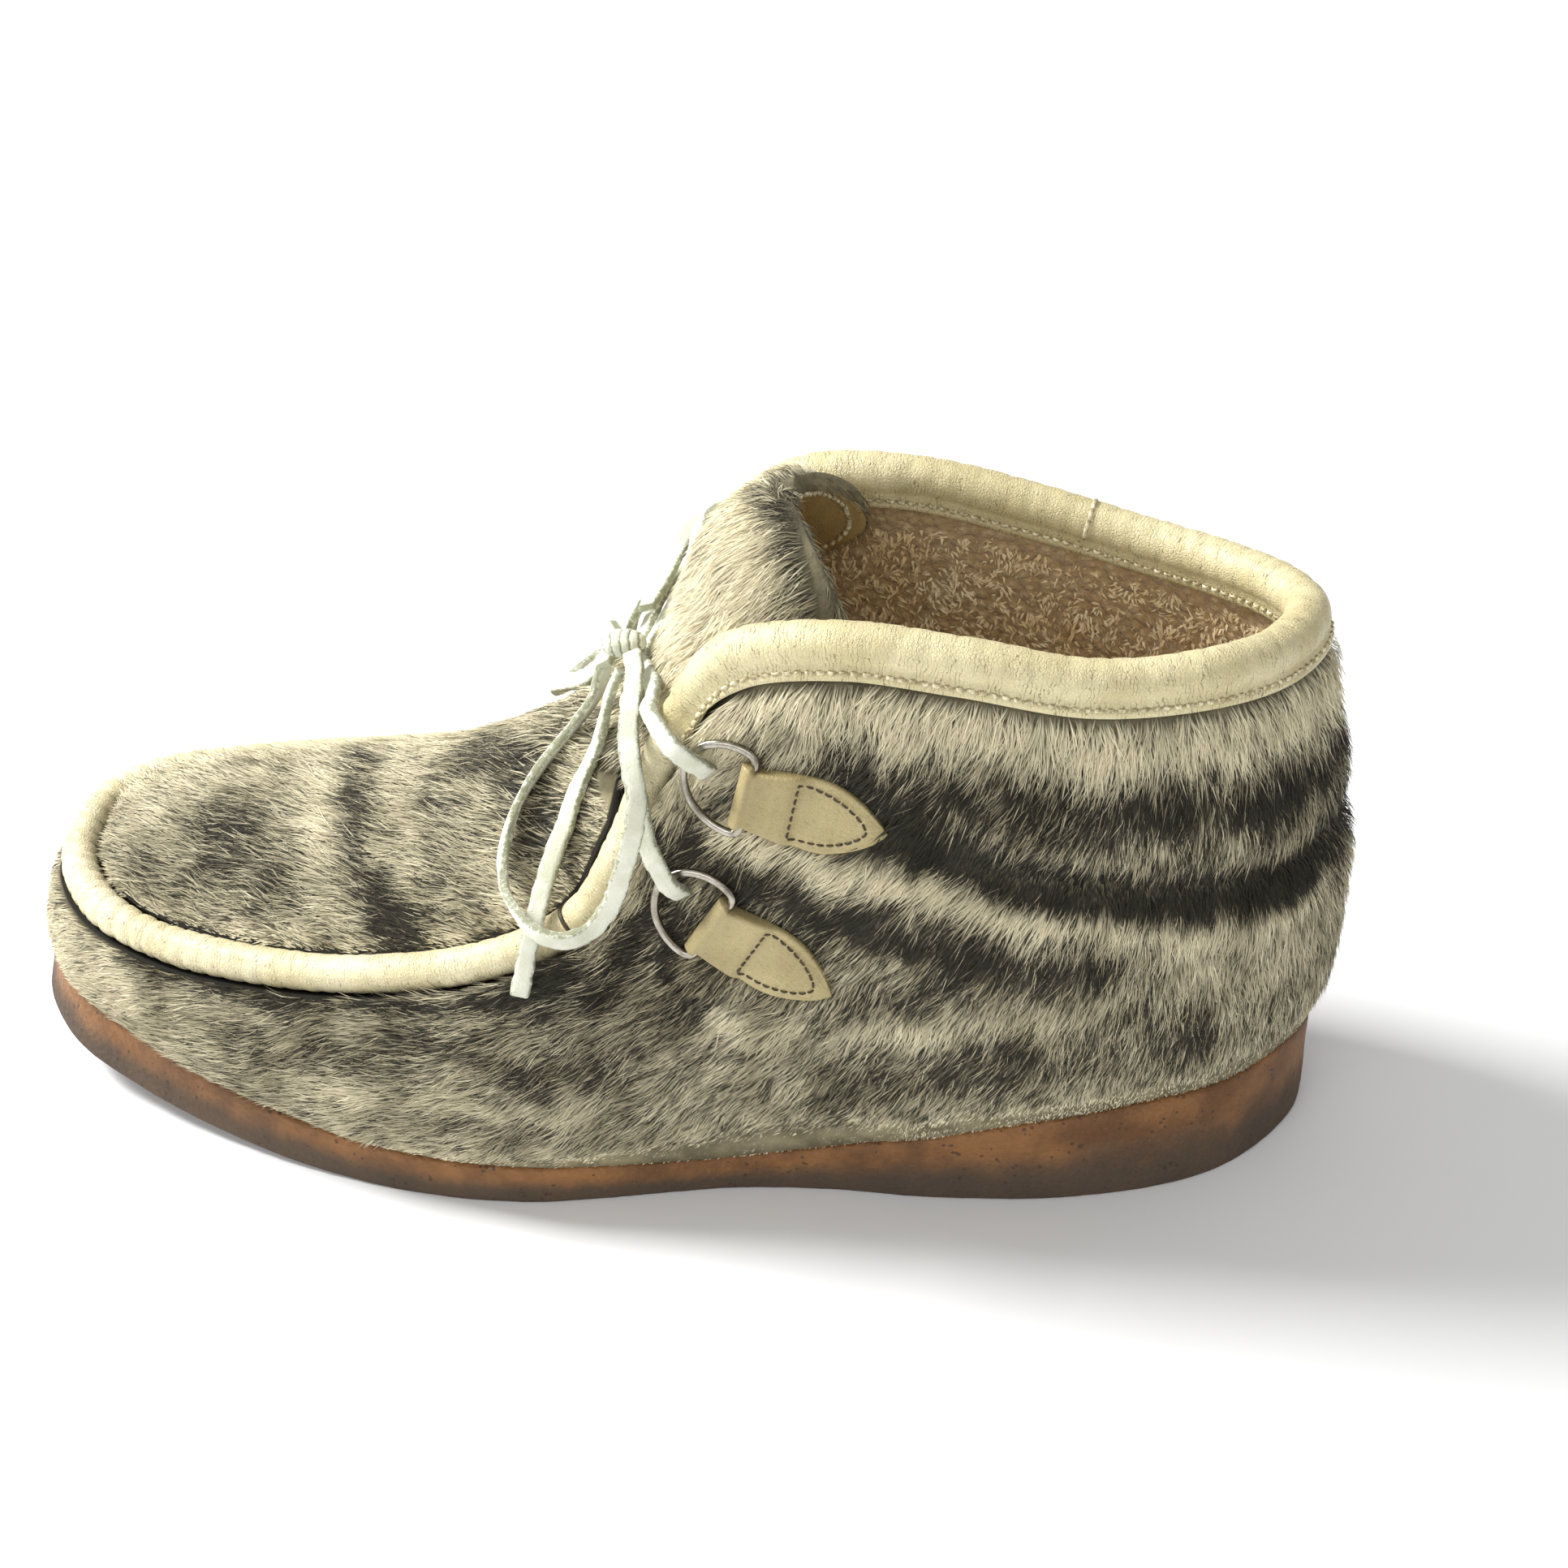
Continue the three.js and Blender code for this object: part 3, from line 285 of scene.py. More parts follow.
def closed_curve(points):
    points = np.asarray(points, float)
    count = len(points)

    def at(row):
        whole = np.floor(row)
        i = whole.astype(int)
        around = [points[(i + k) % count] for k in (-1, 0, 1, 2)]
        return smooth_span(*around, np.asarray(row - whole, float))

    return lambda row: at(np.asarray(row, float))


def open_curve(points):
    points = np.asarray(points, float)
    last = len(points) - 1
    before = 2 * points[0] - points[1]
    after = 2 * points[-1] - points[-2]
    padded = np.vstack([before, points, after])

    def at(row):
        row = np.clip(np.asarray(row, float), 0, last)
        i = np.minimum(np.floor(row).astype(int), last - 1)
        around = [padded[i + k] for k in (0, 1, 2, 3)]
        return smooth_span(*around, row - i)

    return at


def evenly_spaced(curve, spans, stations, closed=False):
    """Points at even steps along a curve, and the way it runs there."""
    fine = np.linspace(0, spans, 2001)
    track = curve(fine)
    run = run_along(track)
    count = stations if closed else stations + 1
    rows = np.interp(run[-1] * np.arange(count) / stations, run, fine)
    step = 1e-3
    low = rows - step if closed else np.maximum(rows - step, 0)
    high = rows + step if closed else np.minimum(rows + step, spans)
    return curve(rows), unit(curve(high) - curve(low)), run[-1]


def value_along(table, names, key, wanted):
    """A smooth reading of one column of a table along another."""
    places = column(table, names, key)
    values = column(table, names, wanted)
    last = len(places) - 1

    def at(place):
        place = np.asarray(place, float)
        high = np.clip(np.searchsorted(places, place), 1, last)
        low = high - 1
        before = np.maximum(0, high - 2)
        after = np.minimum(last, high + 1)
        span = places[high] - places[low]
        s = np.clip((place - places[low]) / span, 0, 1)
        slope_low = (values[high] - values[before]) / (places[high] - places[before]) * span
        slope_high = (values[after] - values[low]) / (places[after] - places[low]) * span
        s2 = s * s
        s3 = s2 * s
        low_part = (2 * s3 - 3 * s2 + 1) * values[low] + (s3 - 2 * s2 + s) * slope_low
        return low_part + (3 * s2 - 2 * s3) * values[high] + (s3 - s2) * slope_high

    return at


def soft_noise(points, size, seed=0):
    """Smooth values from -1 to 1 that vary over about one size."""
    q = points / size
    cell = np.floor(q).astype(np.int64)
    f = q - cell
    f = f * f * (3 - 2 * f)
    total = 0.0
    for corner in range(8):
        dx, dy, dz = corner & 1, (corner >> 1) & 1, corner >> 2
        h = (cell[..., 0] + dx) * 374761393 + (cell[..., 1] + dy) * 668265263
        h = (h + (cell[..., 2] + dz) * 2147483647 + seed * 1274126177) & 0xFFFFFFFF
        h = ((h ^ (h >> 13)) * 1274126177) & 0xFFFFFFFF
        h = h ^ (h >> 16)
        value = (h & 0xFFFF) / 32767.5 - 1
        weight = (f[..., 0] if dx else 1 - f[..., 0]) * (f[..., 1] if dy else 1 - f[..., 1])
        total = total + value * weight * (f[..., 2] if dz else 1 - f[..., 2])
    return total


# Lines of the sole and of the rolls, and the outline of a tab.
def around_line(x, y, z=None):
    heights = 0 if z is None else column(AROUND, AROUND_COLUMNS, z) * COLLAR_HEIGHT
    places = point(
        column(AROUND, AROUND_COLUMNS, x) * SOLE_LENGTH,
        column(AROUND, AROUND_COLUMNS, y) * BALL_WIDTH,
        heights,
    )
    return closed_curve(places)


foot_line = around_line("footX", "footY")
top_line = around_line("topX", "topY", "topZ")
belly_line = closed_curve(point(column(AROUND, AROUND_COLUMNS, "belly") * COLLAR_HEIGHT, 0, 0))
tab_wide = value_along(TAB_SHAPE, TAB_SHAPE_COLUMNS, "along", "wide")
tab_thick = value_along(TAB_SHAPE, TAB_SHAPE_COLUMNS, "along", "thick")
sole_top_share = value_along(SOLE_SIDE, SOLE_SIDE_COLUMNS, "x", "top")
sole_bottom_share = value_along(SOLE_SIDE, SOLE_SIDE_COLUMNS, "x", "bottom")


def sole_top(x):
    return sole_top_share(x / SOLE_LENGTH) * HEEL_RISE


def sole_bottom(x):
    return np.maximum(0, sole_bottom_share(x / SOLE_LENGTH)) * HEEL_RISE


def flare(x):
    return TOE_FLARE * np.clip((FLARE_FROM - x) / (FLARE_FROM + SOLE_LENGTH / 2), 0, 1)


def outward(line, row):
    """The level way out of the boot from a closed line."""
    step = 0.05
    along = line(row + step) - line(row - step)
    return unit(point(-along[..., 1], along[..., 0], 0))


def outline_at(row, inset, z):
    p = foot_line(row)
    n = outward(foot_line, row)
    return point(p[..., 0] - n[..., 0] * inset, p[..., 1] - n[..., 1] * inset, z)


def wall_crease(row, p):
    x = p[..., 0] / SOLE_LENGTH
    outer = np.mod(row, ROWS) < TOE_ROW
    depth = CREASE_DEPTH * eased((x - np.where(outer, 0.16, 0.3)) / 0.12)
    height = COLLAR_HEIGHT * (0.768 - 0.42 * (x - 0.18) + np.where(outer, 0, 0.02))
    return depth * np.exp(-(((p[..., 2] - height) / CREASE_SPREAD) ** 2))


def wall_middle(row, share):
    row, share = np.broadcast_arrays(np.asarray(row, float), np.asarray(share, float))
    n = outward(foot_line, row)
    foot_x = foot_line(row)[..., 0]
    inset = flare(foot_x) + WALL_INSET + WALL_THICK / 2
    base = outline_at(row, inset, sole_top(foot_x) + WALL_SEAT)
    p = base + (top_line(row) - base) * share[..., None]
    rest = 1 - np.clip(share, 0, 1)
    swell = belly_line(row)[..., 0] * SWELL_SCALE * (1 - rest) * rest**1.3
    return p + n * (swell - wall_crease(row, p))[..., None]


def distance_to_top(p, row):
    offsets = np.arange(-3.5, 3.5, 0.1)
    starts = top_line(row[..., None] + offsets)
    ends = top_line(row[..., None] + offsets + 0.1)
    span = ends - starts
    s = np.clip(dot(p[..., None, :] - starts, span) / dot(span, span), 0, 1)
    return length_of(starts + span * s[..., None] - p[..., None, :]).min(-1)


def rim_shares():
    rows = np.arange(0, ROWS, 0.1)
    from_end = np.minimum(rows - PIPING_START, PIPING_END - rows)
    drop = COLLAR_DROP + (PIPING_DROP - COLLAR_DROP) * eased(from_end)
    low = np.full(len(rows), 0.5)
    high = np.ones(len(rows))
    for _ in range(12):
        share = (low + high) / 2
        clear = distance_to_top(wall_middle(rows, share), rows) > drop
        low = np.where(clear, share, low)
        high = np.where(clear, high, share)
    return rows, low


RIM_ROWS, RIM_SHARES = rim_shares()


def rim_share(row):
    return np.interp(np.mod(row, ROWS), RIM_ROWS, RIM_SHARES, period=ROWS)


def wall_normal(row, share):
    dr = 0.06
    low = np.clip(share - 0.02, 0, 1)
    high = np.clip(share + 0.02, 0, 1)
    along = wall_middle(row + dr, share) - wall_middle(row - dr, share)
    up = wall_middle(row, high) - wall_middle(row, low)
    n = unit(np.cross(along, up))
    facing = np.sign(dot(n, outward(foot_line, np.asarray(row, float))))
    return n * facing[..., None]


def wall_point(row, share, side):
    row, share = np.broadcast_arrays(np.asarray(row, float), np.asarray(share, float))
    p = wall_middle(row, share) + wall_normal(row, share) * side
    floor = sole_top(p[..., 0]) + WALL_SEAT
    p[..., 2] = np.where(share <= 0, floor, np.maximum(p[..., 2], floor + share))
    return p


def bent_hide(middle, edges, rounding):
    """A bent hide between two edge lines, read by the way along it and from -1 to 1 across."""

    def place(at, w):
        outer, inner = edges(at)
        lift = np.maximum(0, 1 - w * w) ** rounding(at)
        straight = outer + (inner - outer) * ((1 + w) / 2)[..., None]
        return straight + (middle(at) - (outer + inner) / 2) * lift[..., None]

    def facing(at, w):
        along = place(np.minimum(1, at + 0.01), w) - place(np.maximum(0, at - 0.01), w)
        across = place(at, np.minimum(1, w + 0.04)) - place(at, np.maximum(-1, w - 0.04))
        return unit(np.cross(along, across))

    return place, facing


def apron_hide():
    parts = [value_along(APRON_MIDDLE, APRON_MIDDLE_COLUMNS, "at", key) for key in "xyz"]
    sizes = (SOLE_LENGTH, BALL_WIDTH, COLLAR_HEIGHT)

    def middle(at):
        return point(*[part(at) * size for part, size in zip(parts, sizes)])

    def edges(at):
        reach = PIPING_RADIUS + APRON_TUCK + TOE_TUCK * eased(1 - at / 0.2)
        away = 0.45 + at * APRON_ROWS_EACH_SIDE
        rows = (TOE_ROW - away, TOE_ROW + away)
        return [top_line(r) - outward(top_line, r) * reach[..., None] for r in rows]

    return bent_hide(middle, edges, lambda at: 1.0)


def tongue_hide():
    steps = [(i / (len(TONGUE) - 1), *row) for i, row in enumerate(TONGUE)]
    names = ("at",) + TONGUE_COLUMNS
    mid_x, mid_z, edge_x, edge_y, edge_z, rounding = [
        value_along(steps, names, "at", key) for key in TONGUE_COLUMNS
    ]

    def middle(at):
        return point(mid_x(at) * SOLE_LENGTH, -0.01 * BALL_WIDTH, mid_z(at) * COLLAR_HEIGHT)

    def edges(at):
        wide = edge_y(at) * BALL_WIDTH
        x = edge_x(at) * SOLE_LENGTH
        z = edge_z(at) * COLLAR_HEIGHT
        return [point(x, -wide, z), point(x, wide, z)]

    return bent_hide(middle, edges, rounding)


def wall_face(x, z, side):
    """The wall's outer face at an x and z, on the outer (-1) or the inner (1) side."""
    low_row, high_row = (2, 11) if side < 0 else (23, 32)
    row = np.full(np.shape(x), 6.0 if side < 0 else 27.0)
    share = np.full(np.shape(x), 0.7)
    half = WALL_THICK / 2
    for _ in range(9):
        p = wall_point(row, share, half)
        by_row = (wall_point(row + 0.05, share, half) - p) / 0.05
        by_share = (wall_point(row, share + 0.02, half) - p) / 0.02
        det = by_row[..., 0] * by_share[..., 2] - by_row[..., 2] * by_share[..., 0]
        ex = x - p[..., 0]
        ez = z - p[..., 2]
        move = np.clip((ex * by_share[..., 2] - ez * by_share[..., 0]) / det, -1, 1)
        climb = np.clip((by_row[..., 0] * ez - by_row[..., 2] * ex) / det, -0.3, 0.3)
        row = np.clip(row + move, low_row, high_row)
        share = np.clip(share + climb, 0.05, 0.97)
    return wall_point(row, share, half), wall_normal(row, share)


def tab_placer(fold_x, fold_z, turn_degrees, side):
    """Places points of a tab or ring: along from the fold, across it, and above the wall."""
    turn = math.radians(turn_degrees)

    def wall_at(along, across):
        return wall_face(
            fold_x * SOLE_LENGTH + along * math.cos(turn) - across * math.sin(turn),
            fold_z * COLLAR_HEIGHT + along * math.sin(turn) + across * math.cos(turn),
            side,
        )

    alongs = np.arange(-16.0, TAB_LENGTH + 4)
    acrosses = np.arange(-13.0, 14.0)
    lie, lie_n = wall_at(alongs[:, None] + 0 * acrosses, acrosses + 0 * alongs[:, None])

    def wall_under(along, across):
        i = np.clip(along - alongs[0], 0, len(alongs) - 1.001)
        k = np.clip(across - acrosses[0], 0, len(acrosses) - 1.001)
        i0 = np.floor(i).astype(int)
        k0 = np.floor(k).astype(int)
        spot, n_there = [read_grid(grid, i0, k0, i - i0, k - k0) for grid in (lie, lie_n)]
        return spot, unit(n_there)

    origin, n = wall_under(np.array(0.0), np.array(0.0))
    down = wall_under(np.array(SLEEVE_WIDTH / 2), np.array(0.0))[0] - origin
    down = unit(down - n * dot(down, n))
    sideways = unit(np.cross(n, down) * -side)

    def place(along, across, above):
        along, across, above = np.broadcast_arrays(
            np.asarray(along, float), np.asarray(across, float), np.asarray(above, float)
        )
        flat = origin + down * along[..., None] + sideways * across[..., None] + n * above[..., None]
        behind = eased((along / SLEEVE_RADIUS - 2) / 2)[..., None]
        wall, wall_n = wall_under(along, across)
        return flat + (wall + wall_n * above[..., None] - flat) * behind

    return place


def lace_points(rows, side):
    rows = np.asarray(rows, float)
    return point(
        rows[:, 0] * SOLE_LENGTH, -side * rows[:, 1] * BALL_WIDTH, rows[:, 2] * COLLAR_HEIGHT
    )


def away_from_foot(p):
    """The way a lace's flat face looks: up and forward at the middle, sideways at the walls."""
    beside = eased((np.abs(p[..., 1]) / BALL_WIDTH - 0.12) / 0.3)
    ahead = -0.75 * (1 - beside)
    return unit(point(ahead, beside * np.sign(p[..., 1]), 0.65 * (1 - beside) + 0.2 * beside))


# Making pieces.
def metres(points):
    return (np.asarray(points, float) + CENTRING) * METRES


def new_piece(name, points, quads, triangles=None):
    """A mesh piece from millimetre points, quads and triangles."""
    triangles = np.zeros((0, 3), int) if triangles is None else np.asarray(triangles, int)
    quads = np.asarray(quads, int).reshape(-1, 4)
    places = metres(np.asarray(points, float).reshape(-1, 3))
    mesh = bpy.data.meshes.new(name)
    mesh.vertices.add(len(places))
    mesh.vertices.foreach_set("co", np.ascontiguousarray(places, np.float32).ravel())
    corners = np.concatenate([quads.ravel(), triangles.ravel()]).astype(np.int32)
    sizes = np.concatenate([np.full(len(quads), 4), np.full(len(triangles), 3)]).astype(np.int32)
    starts = np.concatenate([[0], np.cumsum(sizes)[:-1]]).astype(np.int32)
    mesh.loops.add(len(corners))
    mesh.loops.foreach_set("vertex_index", corners)
    mesh.polygons.add(len(sizes))
    mesh.polygons.foreach_set("loop_start", starts)
    mesh.polygons.foreach_set("use_smooth", np.ones(len(sizes), bool))
    mesh.update(calc_edges=True)
    mesh.validate()
    piece = bpy.data.objects.new(name, mesh)
    bpy.context.scene.collection.objects.link(piece)
    return piece


def grid_quads(rows, columns, wrap_rows=False, wrap_columns=False, first=0):
    """Quads over a grid of points given row by row."""
    r = np.arange(rows if wrap_rows else rows - 1)[:, None]
    c = np.arange(columns if wrap_columns else columns - 1)[None, :]
    r2 = (r + 1) % rows
    c2 = (c + 1) % columns
    quads = np.stack(
        [r * columns + c, r * columns + c2, r2 * columns + c2, r2 * columns + c], -1
    )
    return quads.reshape(-1, 4) + first


def facing_out(points, quads):
    """The quads, turned so that a closed body faces out."""
    p = points.reshape(-1, 3)
    a, b, c, d = [p[quads[:, k]] for k in range(4)]
    volume = dot(a, np.cross(b, c)).sum() + dot(a, np.cross(c, d)).sum()
    return quads if volume > 0 else quads[:, ::-1]


def closed_sweep(points, wrap=False):
    """Quads of a closed body through rings of points. An end that stays open is drawn in."""
    rings, around = points.shape[:2]
    if wrap:
        return points.reshape(-1, 3), facing_out(points, grid_quads(rings, around, True, True))
    ends = []
    for ring in (points[0], points[-1]):
        centre = ring.mean(0)
        ends.append([centre + (ring - centre) * k for k in (0.6, 0.02)])
    stacked = np.stack([ends[0][1], ends[0][0], *points, ends[1][0], ends[1][1]])
    quads = grid_quads(len(stacked), around, False, True)
    return stacked.reshape(-1, 3), facing_out(stacked, quads)


def to_ends(values):
    """Values on rings, carried over to the two small rings that close each end."""
    return np.vstack([values[:1]] * 2 + [values] + [values[-1:]] * 2)


def finish_piece(piece, material, slot, *nodes):
    piece.data.materials.append(material)
    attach(piece, "root")
    if nodes:
        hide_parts(*nodes)
    return piece


def keep_value(piece, name, values):
    """Stores one number for each point of a piece, for its material to read."""
    attribute = piece.data.attributes.new(name, "FLOAT", "POINT")
    attribute.data.foreach_set("value", np.ascontiguousarray(values, np.float32).ravel())


def rolled(centres, wides, heights, section):
    """Rings of a section, given as (wide, high) pairs, at centres with two directions."""
    section = np.asarray(section, float)
    if section.ndim == 2:
        section = np.broadcast_to(section, (len(centres),) + section.shape)
    return (
        centres[:, None, :]
        + wides[:, None, :] * section[..., 0:1]
        + heights[:, None, :] * section[..., 1:2]
    )


# Camera, made before the pieces: it looks down 35 degrees, from a little behind the outer side.
def photographers_view():
    lens = bpy.data.cameras.new("view")
    lens.sensor_fit = "HORIZONTAL"
    lens.sensor_width = 36
    lens.lens = 69.99
    lens.clip_start = 0.02
    lens.clip_end = 30
    view = bpy.data.objects.new("view", lens)
    view.location = (0.092877, -0.541891, 0.4625)
    view.rotation_euler = (math.radians(55), 0, math.radians(7))
    bpy.context.scene.collection.objects.link(view)
    bpy.context.scene.camera = view


photographers_view()


# Materials.
class Nodes:
    """Adds nodes to a tree and joins them."""

    def __init__(self, tree):
        self.tree = tree
        self.made = 0

    def add(self, kind, **settings):
        node = self.tree.nodes.new(kind)
        node.location = (self.made % 8 * 190, -(self.made // 8) * 260)
        self.made += 1
        for name, value in settings.items():
            setattr(node, name, value)
        return node

    def join(self, source, target):
        self.tree.links.new(source, target)
        return target

    def feed(self, socket, value):
        if hasattr(value, "is_output"):
            self.tree.links.new(value, socket)
        else:
            socket.default_value = value

    def maths(self, operation, first, second, clamp=False):
        node = self.add("ShaderNodeMath", operation=operation, use_clamp=clamp)
        self.feed(node.inputs[0], first)
        self.feed(node.inputs[1], second)
        return node.outputs[0]

    def blend_colours(self, share, first, second, kind="MIX"):
        node = self.add("ShaderNodeMix", data_type="RGBA", blend_type=kind)
        self.feed(node.inputs[0], share)
        self.feed(node.inputs[6], first)
        self.feed(node.inputs[7], second)
        return node.outputs[2]

    def band(self, value, low, high, first=0.0, second=1.0):
        """first below low and second above high, smooth between."""
        node = self.add("ShaderNodeMapRange", interpolation_type="SMOOTHSTEP")
        self.feed(node.inputs[0], value)
        self.feed(node.inputs[1], low)
        self.feed(node.inputs[2], high)
        self.feed(node.inputs[3], first)
        self.feed(node.inputs[4], second)
        return node.outputs[0]

    def noise(self, place, scale, detail=2.0, roughness=0.5):
        node = self.add("ShaderNodeTexNoise")
        self.feed(node.inputs["Vector"], place)
        self.feed(node.inputs["Scale"], scale)
        self.feed(node.inputs["Detail"], detail)
        self.feed(node.inputs["Roughness"], roughness)
        return node.outputs[0]

    def cells(self, place, scale, feature="F1"):
        node = self.add("ShaderNodeTexVoronoi", feature=feature)
        self.feed(node.inputs["Vector"], place)
        self.feed(node.inputs["Scale"], scale)
        return node.outputs[0]

    def stretched(self, place, scale):
        node = self.add("ShaderNodeMapping", vector_type="POINT")
        self.feed(node.inputs["Vector"], place)
        self.feed(node.inputs["Scale"], scale)
        return node.outputs[0]

    def value_of(self, name):
        return self.add("ShaderNodeAttribute", attribute_name=name).outputs["Fac"]


def colour(text):
    """A linear colour from a six figure web colour."""
    parts = [int(text[i : i + 2], 16) / 255 for i in (0, 2, 4)]
    line = [c / 12.92 if c <= 0.04045 else ((c + 0.055) / 1.055) ** 2.4 for c in parts]
    return (*line, 1.0)


def effect(name, inputs, outputs):
    """A node group with named sockets."""
    tree = bpy.data.node_groups.new(name, "ShaderNodeTree")
    kinds = {"colour": "NodeSocketColor", "value": "NodeSocketFloat", "vector": "NodeSocketVector"}
    for label, kind, start in inputs:
        socket = tree.interface.new_socket(name=label, in_out="INPUT", socket_type=kinds[kind])
        if start is not None:
            socket.default_value = start
    for label, kind in outputs:
        tree.interface.new_socket(name=label, in_out="OUTPUT", socket_type=kinds[kind])
    nodes = Nodes(tree)
    return tree, nodes, nodes.add("NodeGroupInput"), nodes.add("NodeGroupOutput")


def leather_grain_effect():
    """Small raised pebbles between fine valleys, with worn paler tops."""
    tree, n, given, out = effect(
        "leather_grain",
        [("Place", "vector", None), ("Grain Size", "value", 900.0), ("Depth", "value", 0.5)],
        [("Height", "value"), ("Valley", "value")],
    )
    warped = n.noise(given.outputs["Place"], 300.0, 2.0)
    shift = n.add("ShaderNodeVectorMath", operation="ADD")
    n.join(given.outputs["Place"], shift.inputs[0])
    spread = n.add("ShaderNodeVectorMath", operation="SCALE")
    n.join(warped, spread.inputs[0])
    spread.inputs[3].default_value = 0.0006
    n.join(spread.outputs[0], shift.inputs[1])
    edges = n.cells(shift.outputs[0], given.outputs["Grain Size"], "DISTANCE_TO_EDGE")
    valley = n.band(edges, 0.02, 0.22, 1.0, 0.0)
    fine = n.noise(given.outputs["Place"], 2500.0, 3.0)
    height = n.maths("MULTIPLY", n.maths("SUBTRACT", fine, valley), given.outputs["Depth"])
    n.join(height, out.inputs["Height"])
    n.join(valley, out.inputs["Valley"])
    return tree


def mottle_effect():
    """A colour that wanders between two others in soft clouds."""
    tree, n, given, out = effect(
        "mottle",
        [
            ("Place", "vector", None),
            ("Pale", "colour", (0.8, 0.8, 0.8, 1)),
            ("Deep", "colour", (0.4, 0.4, 0.4, 1)),
            ("Cloud Size", "value", 60.0),
            ("Amount", "value", 1.0),
        ],
        [("Colour", "colour"), ("Cloud", "value")],
    )
    broad = n.noise(given.outputs["Place"], given.outputs["Cloud Size"], 4.0, 0.6)
    cloud = n.maths("MULTIPLY", n.band(broad, 0.35, 0.66), given.outputs["Amount"])
    mixed = n.blend_colours(cloud, given.outputs["Pale"], given.outputs["Deep"])
    n.join(mixed, out.inputs["Colour"])
    n.join(cloud, out.inputs["Cloud"])
    return tree


def cross_cracks_effect():
    """Fine broken lines across a roll, read by the way along it and round it."""
    tree, n, given, out = effect(
        "cross_cracks",
        [
            ("Along", "value", 0.0),
            ("Round", "value", 0.0),
            ("Spacing", "value", 1.0),
            ("Amount", "value", 1.0),
        ],
        [("Crack", "value"), ("Fold", "value")],
    )
    place = n.add("ShaderNodeCombineXYZ")
    n.join(n.maths("MULTIPLY", given.outputs["Along"], given.outputs["Spacing"]), place.inputs[0])
    n.join(given.outputs["Round"], place.inputs[1])
    wander = n.noise(n.stretched(place.outputs[0], (0.5, 2.2, 1)), 1.0, 3.0, 0.6)
    rows = n.maths("ADD", n.maths("MULTIPLY", given.outputs["Along"], given.outputs["Spacing"]),
                   n.maths("MULTIPLY", wander, 3.4))
    wave = n.maths("PINGPONG", rows, 0.5)
    line = n.band(wave, 0.0, 0.13, 1.0, 0.0)
    broken = n.band(n.noise(n.stretched(place.outputs[0], (0.35, 1.6, 1)), 1.0, 3.0, 0.65), 0.42, 0.6)
    crack = n.maths("MULTIPLY", n.maths("MULTIPLY", line, broken), given.outputs["Amount"])
    n.join(crack, out.inputs["Crack"])
    n.join(n.band(wave, 0.0, 0.5), out.inputs["Fold"])
    return tree


def speckle_effect():
    """Scattered dark flecks of uneven size."""
    tree, n, given, out = effect(
        "speckle",
        [("Place", "vector", None), ("Fleck Size", "value", 400.0), ("Density", "value", 0.3)],
        [("Fleck", "value")],
    )
    dots = n.cells(given.outputs["Place"], given.outputs["Fleck Size"])
    size = n.band(n.noise(given.outputs["Place"], 150.0, 3.0, 0.7), 0.4, 0.75, 0.0, 0.42)
    fleck = n.maths("MULTIPLY", n.maths("LESS_THAN", dots, size), given.outputs["Density"])
    n.join(fleck, out.inputs["Fleck"])
    return tree


GRAIN = leather_grain_effect()
MOTTLE = mottle_effect()
CRACKS = cross_cracks_effect()
SPECKLE = speckle_effect()


def start_material(name, **settings):
    material = bpy.data.materials.new(name)
    material.use_nodes = True
    material.node_tree.nodes.clear()
    n = Nodes(material.node_tree)
    shader = n.add("ShaderNodeBsdfPrincipled")
    out = n.add("ShaderNodeOutputMaterial")
    n.join(shader.outputs[0], out.inputs[0])
    for label, value in settings.items():
        shader.inputs[label.replace("_", " ")].default_value = value
    return material, n, shader


def placed_effect(n, tree, **values):
    node = n.add("ShaderNodeGroup", node_tree=tree)
    for label, value in values.items():
        n.feed(node.inputs[label.replace("_", " ")], value)
    return node


def here(n):
    return n.add("ShaderNodeTexCoord").outputs["Object"]


def clouded(n, place, pale, deep, size, amount):
    """Soft clouds of two colours over a piece."""
    return placed_effect(
        n, MOTTLE, Place=place, Pale=colour(pale), Deep=colour(deep), Cloud_Size=size, Amount=amount
    )


def bumped(n, shader, height, strength, distance):
    bump = n.add("ShaderNodeBump")
    bump.inputs["Strength"].default_value = strength
    bump.inputs["Distance"].default_value = distance
    n.join(height, bump.inputs["Height"])
    n.join(bump.outputs[0], shader.inputs["Normal"])


def fur_material(name, pale, cream, dark, root_light=0.3):
    """Hair that goes from a shaded root to a tinted tip. Points carry tip, shade and tone."""
    material, n, shader = start_material(
        name, Roughness=0.6, Specular_IOR_Level=0.16, Sheen_Weight=0.02
    )
    tip = n.value_of("tip")
    body = n.blend_colours(n.value_of("tone"), colour(pale), colour(cream))
    # Painted shade: each hair darkens toward its root, where the hair lying over it would shadow it.
    root = n.band(tip, 0.0, 0.5, root_light, 1.0)
    deep = n.blend_colours(n.band(tip, 0.0, 0.45), body, colour(dark))
    tinted = n.blend_colours(n.value_of("shade"), body, deep)
    grey = n.add("ShaderNodeCombineColor")
    for channel in grey.inputs:
        n.join(root, channel)
    shaded = n.blend_colours(1.0, tinted, grey.outputs[0], "MULTIPLY")
    n.join(shaded, shader.inputs["Base Color"])
    return material


def hide_material(name, pale, deep):
    """The skin and undercoat under the hair."""
    material, n, shader = start_material(name, Roughness=0.9, Specular_IOR_Level=0.2)
    place = here(n)
    clouds = clouded(n, place, pale, deep, 120.0, 1.0)
    # Darker where the shade value is high: the fur's markings, and painted shade along the wall's rim and
    # the apron's side edges.
    shaded = n.blend_colours(n.value_of("shade"), clouds.outputs["Colour"], colour("26241f"))
    n.join(shaded, shader.inputs["Base Color"])
    bumped(n, shader, n.noise(place, 1400.0, 4.0, 0.7), 0.6, 0.0006)
    return material


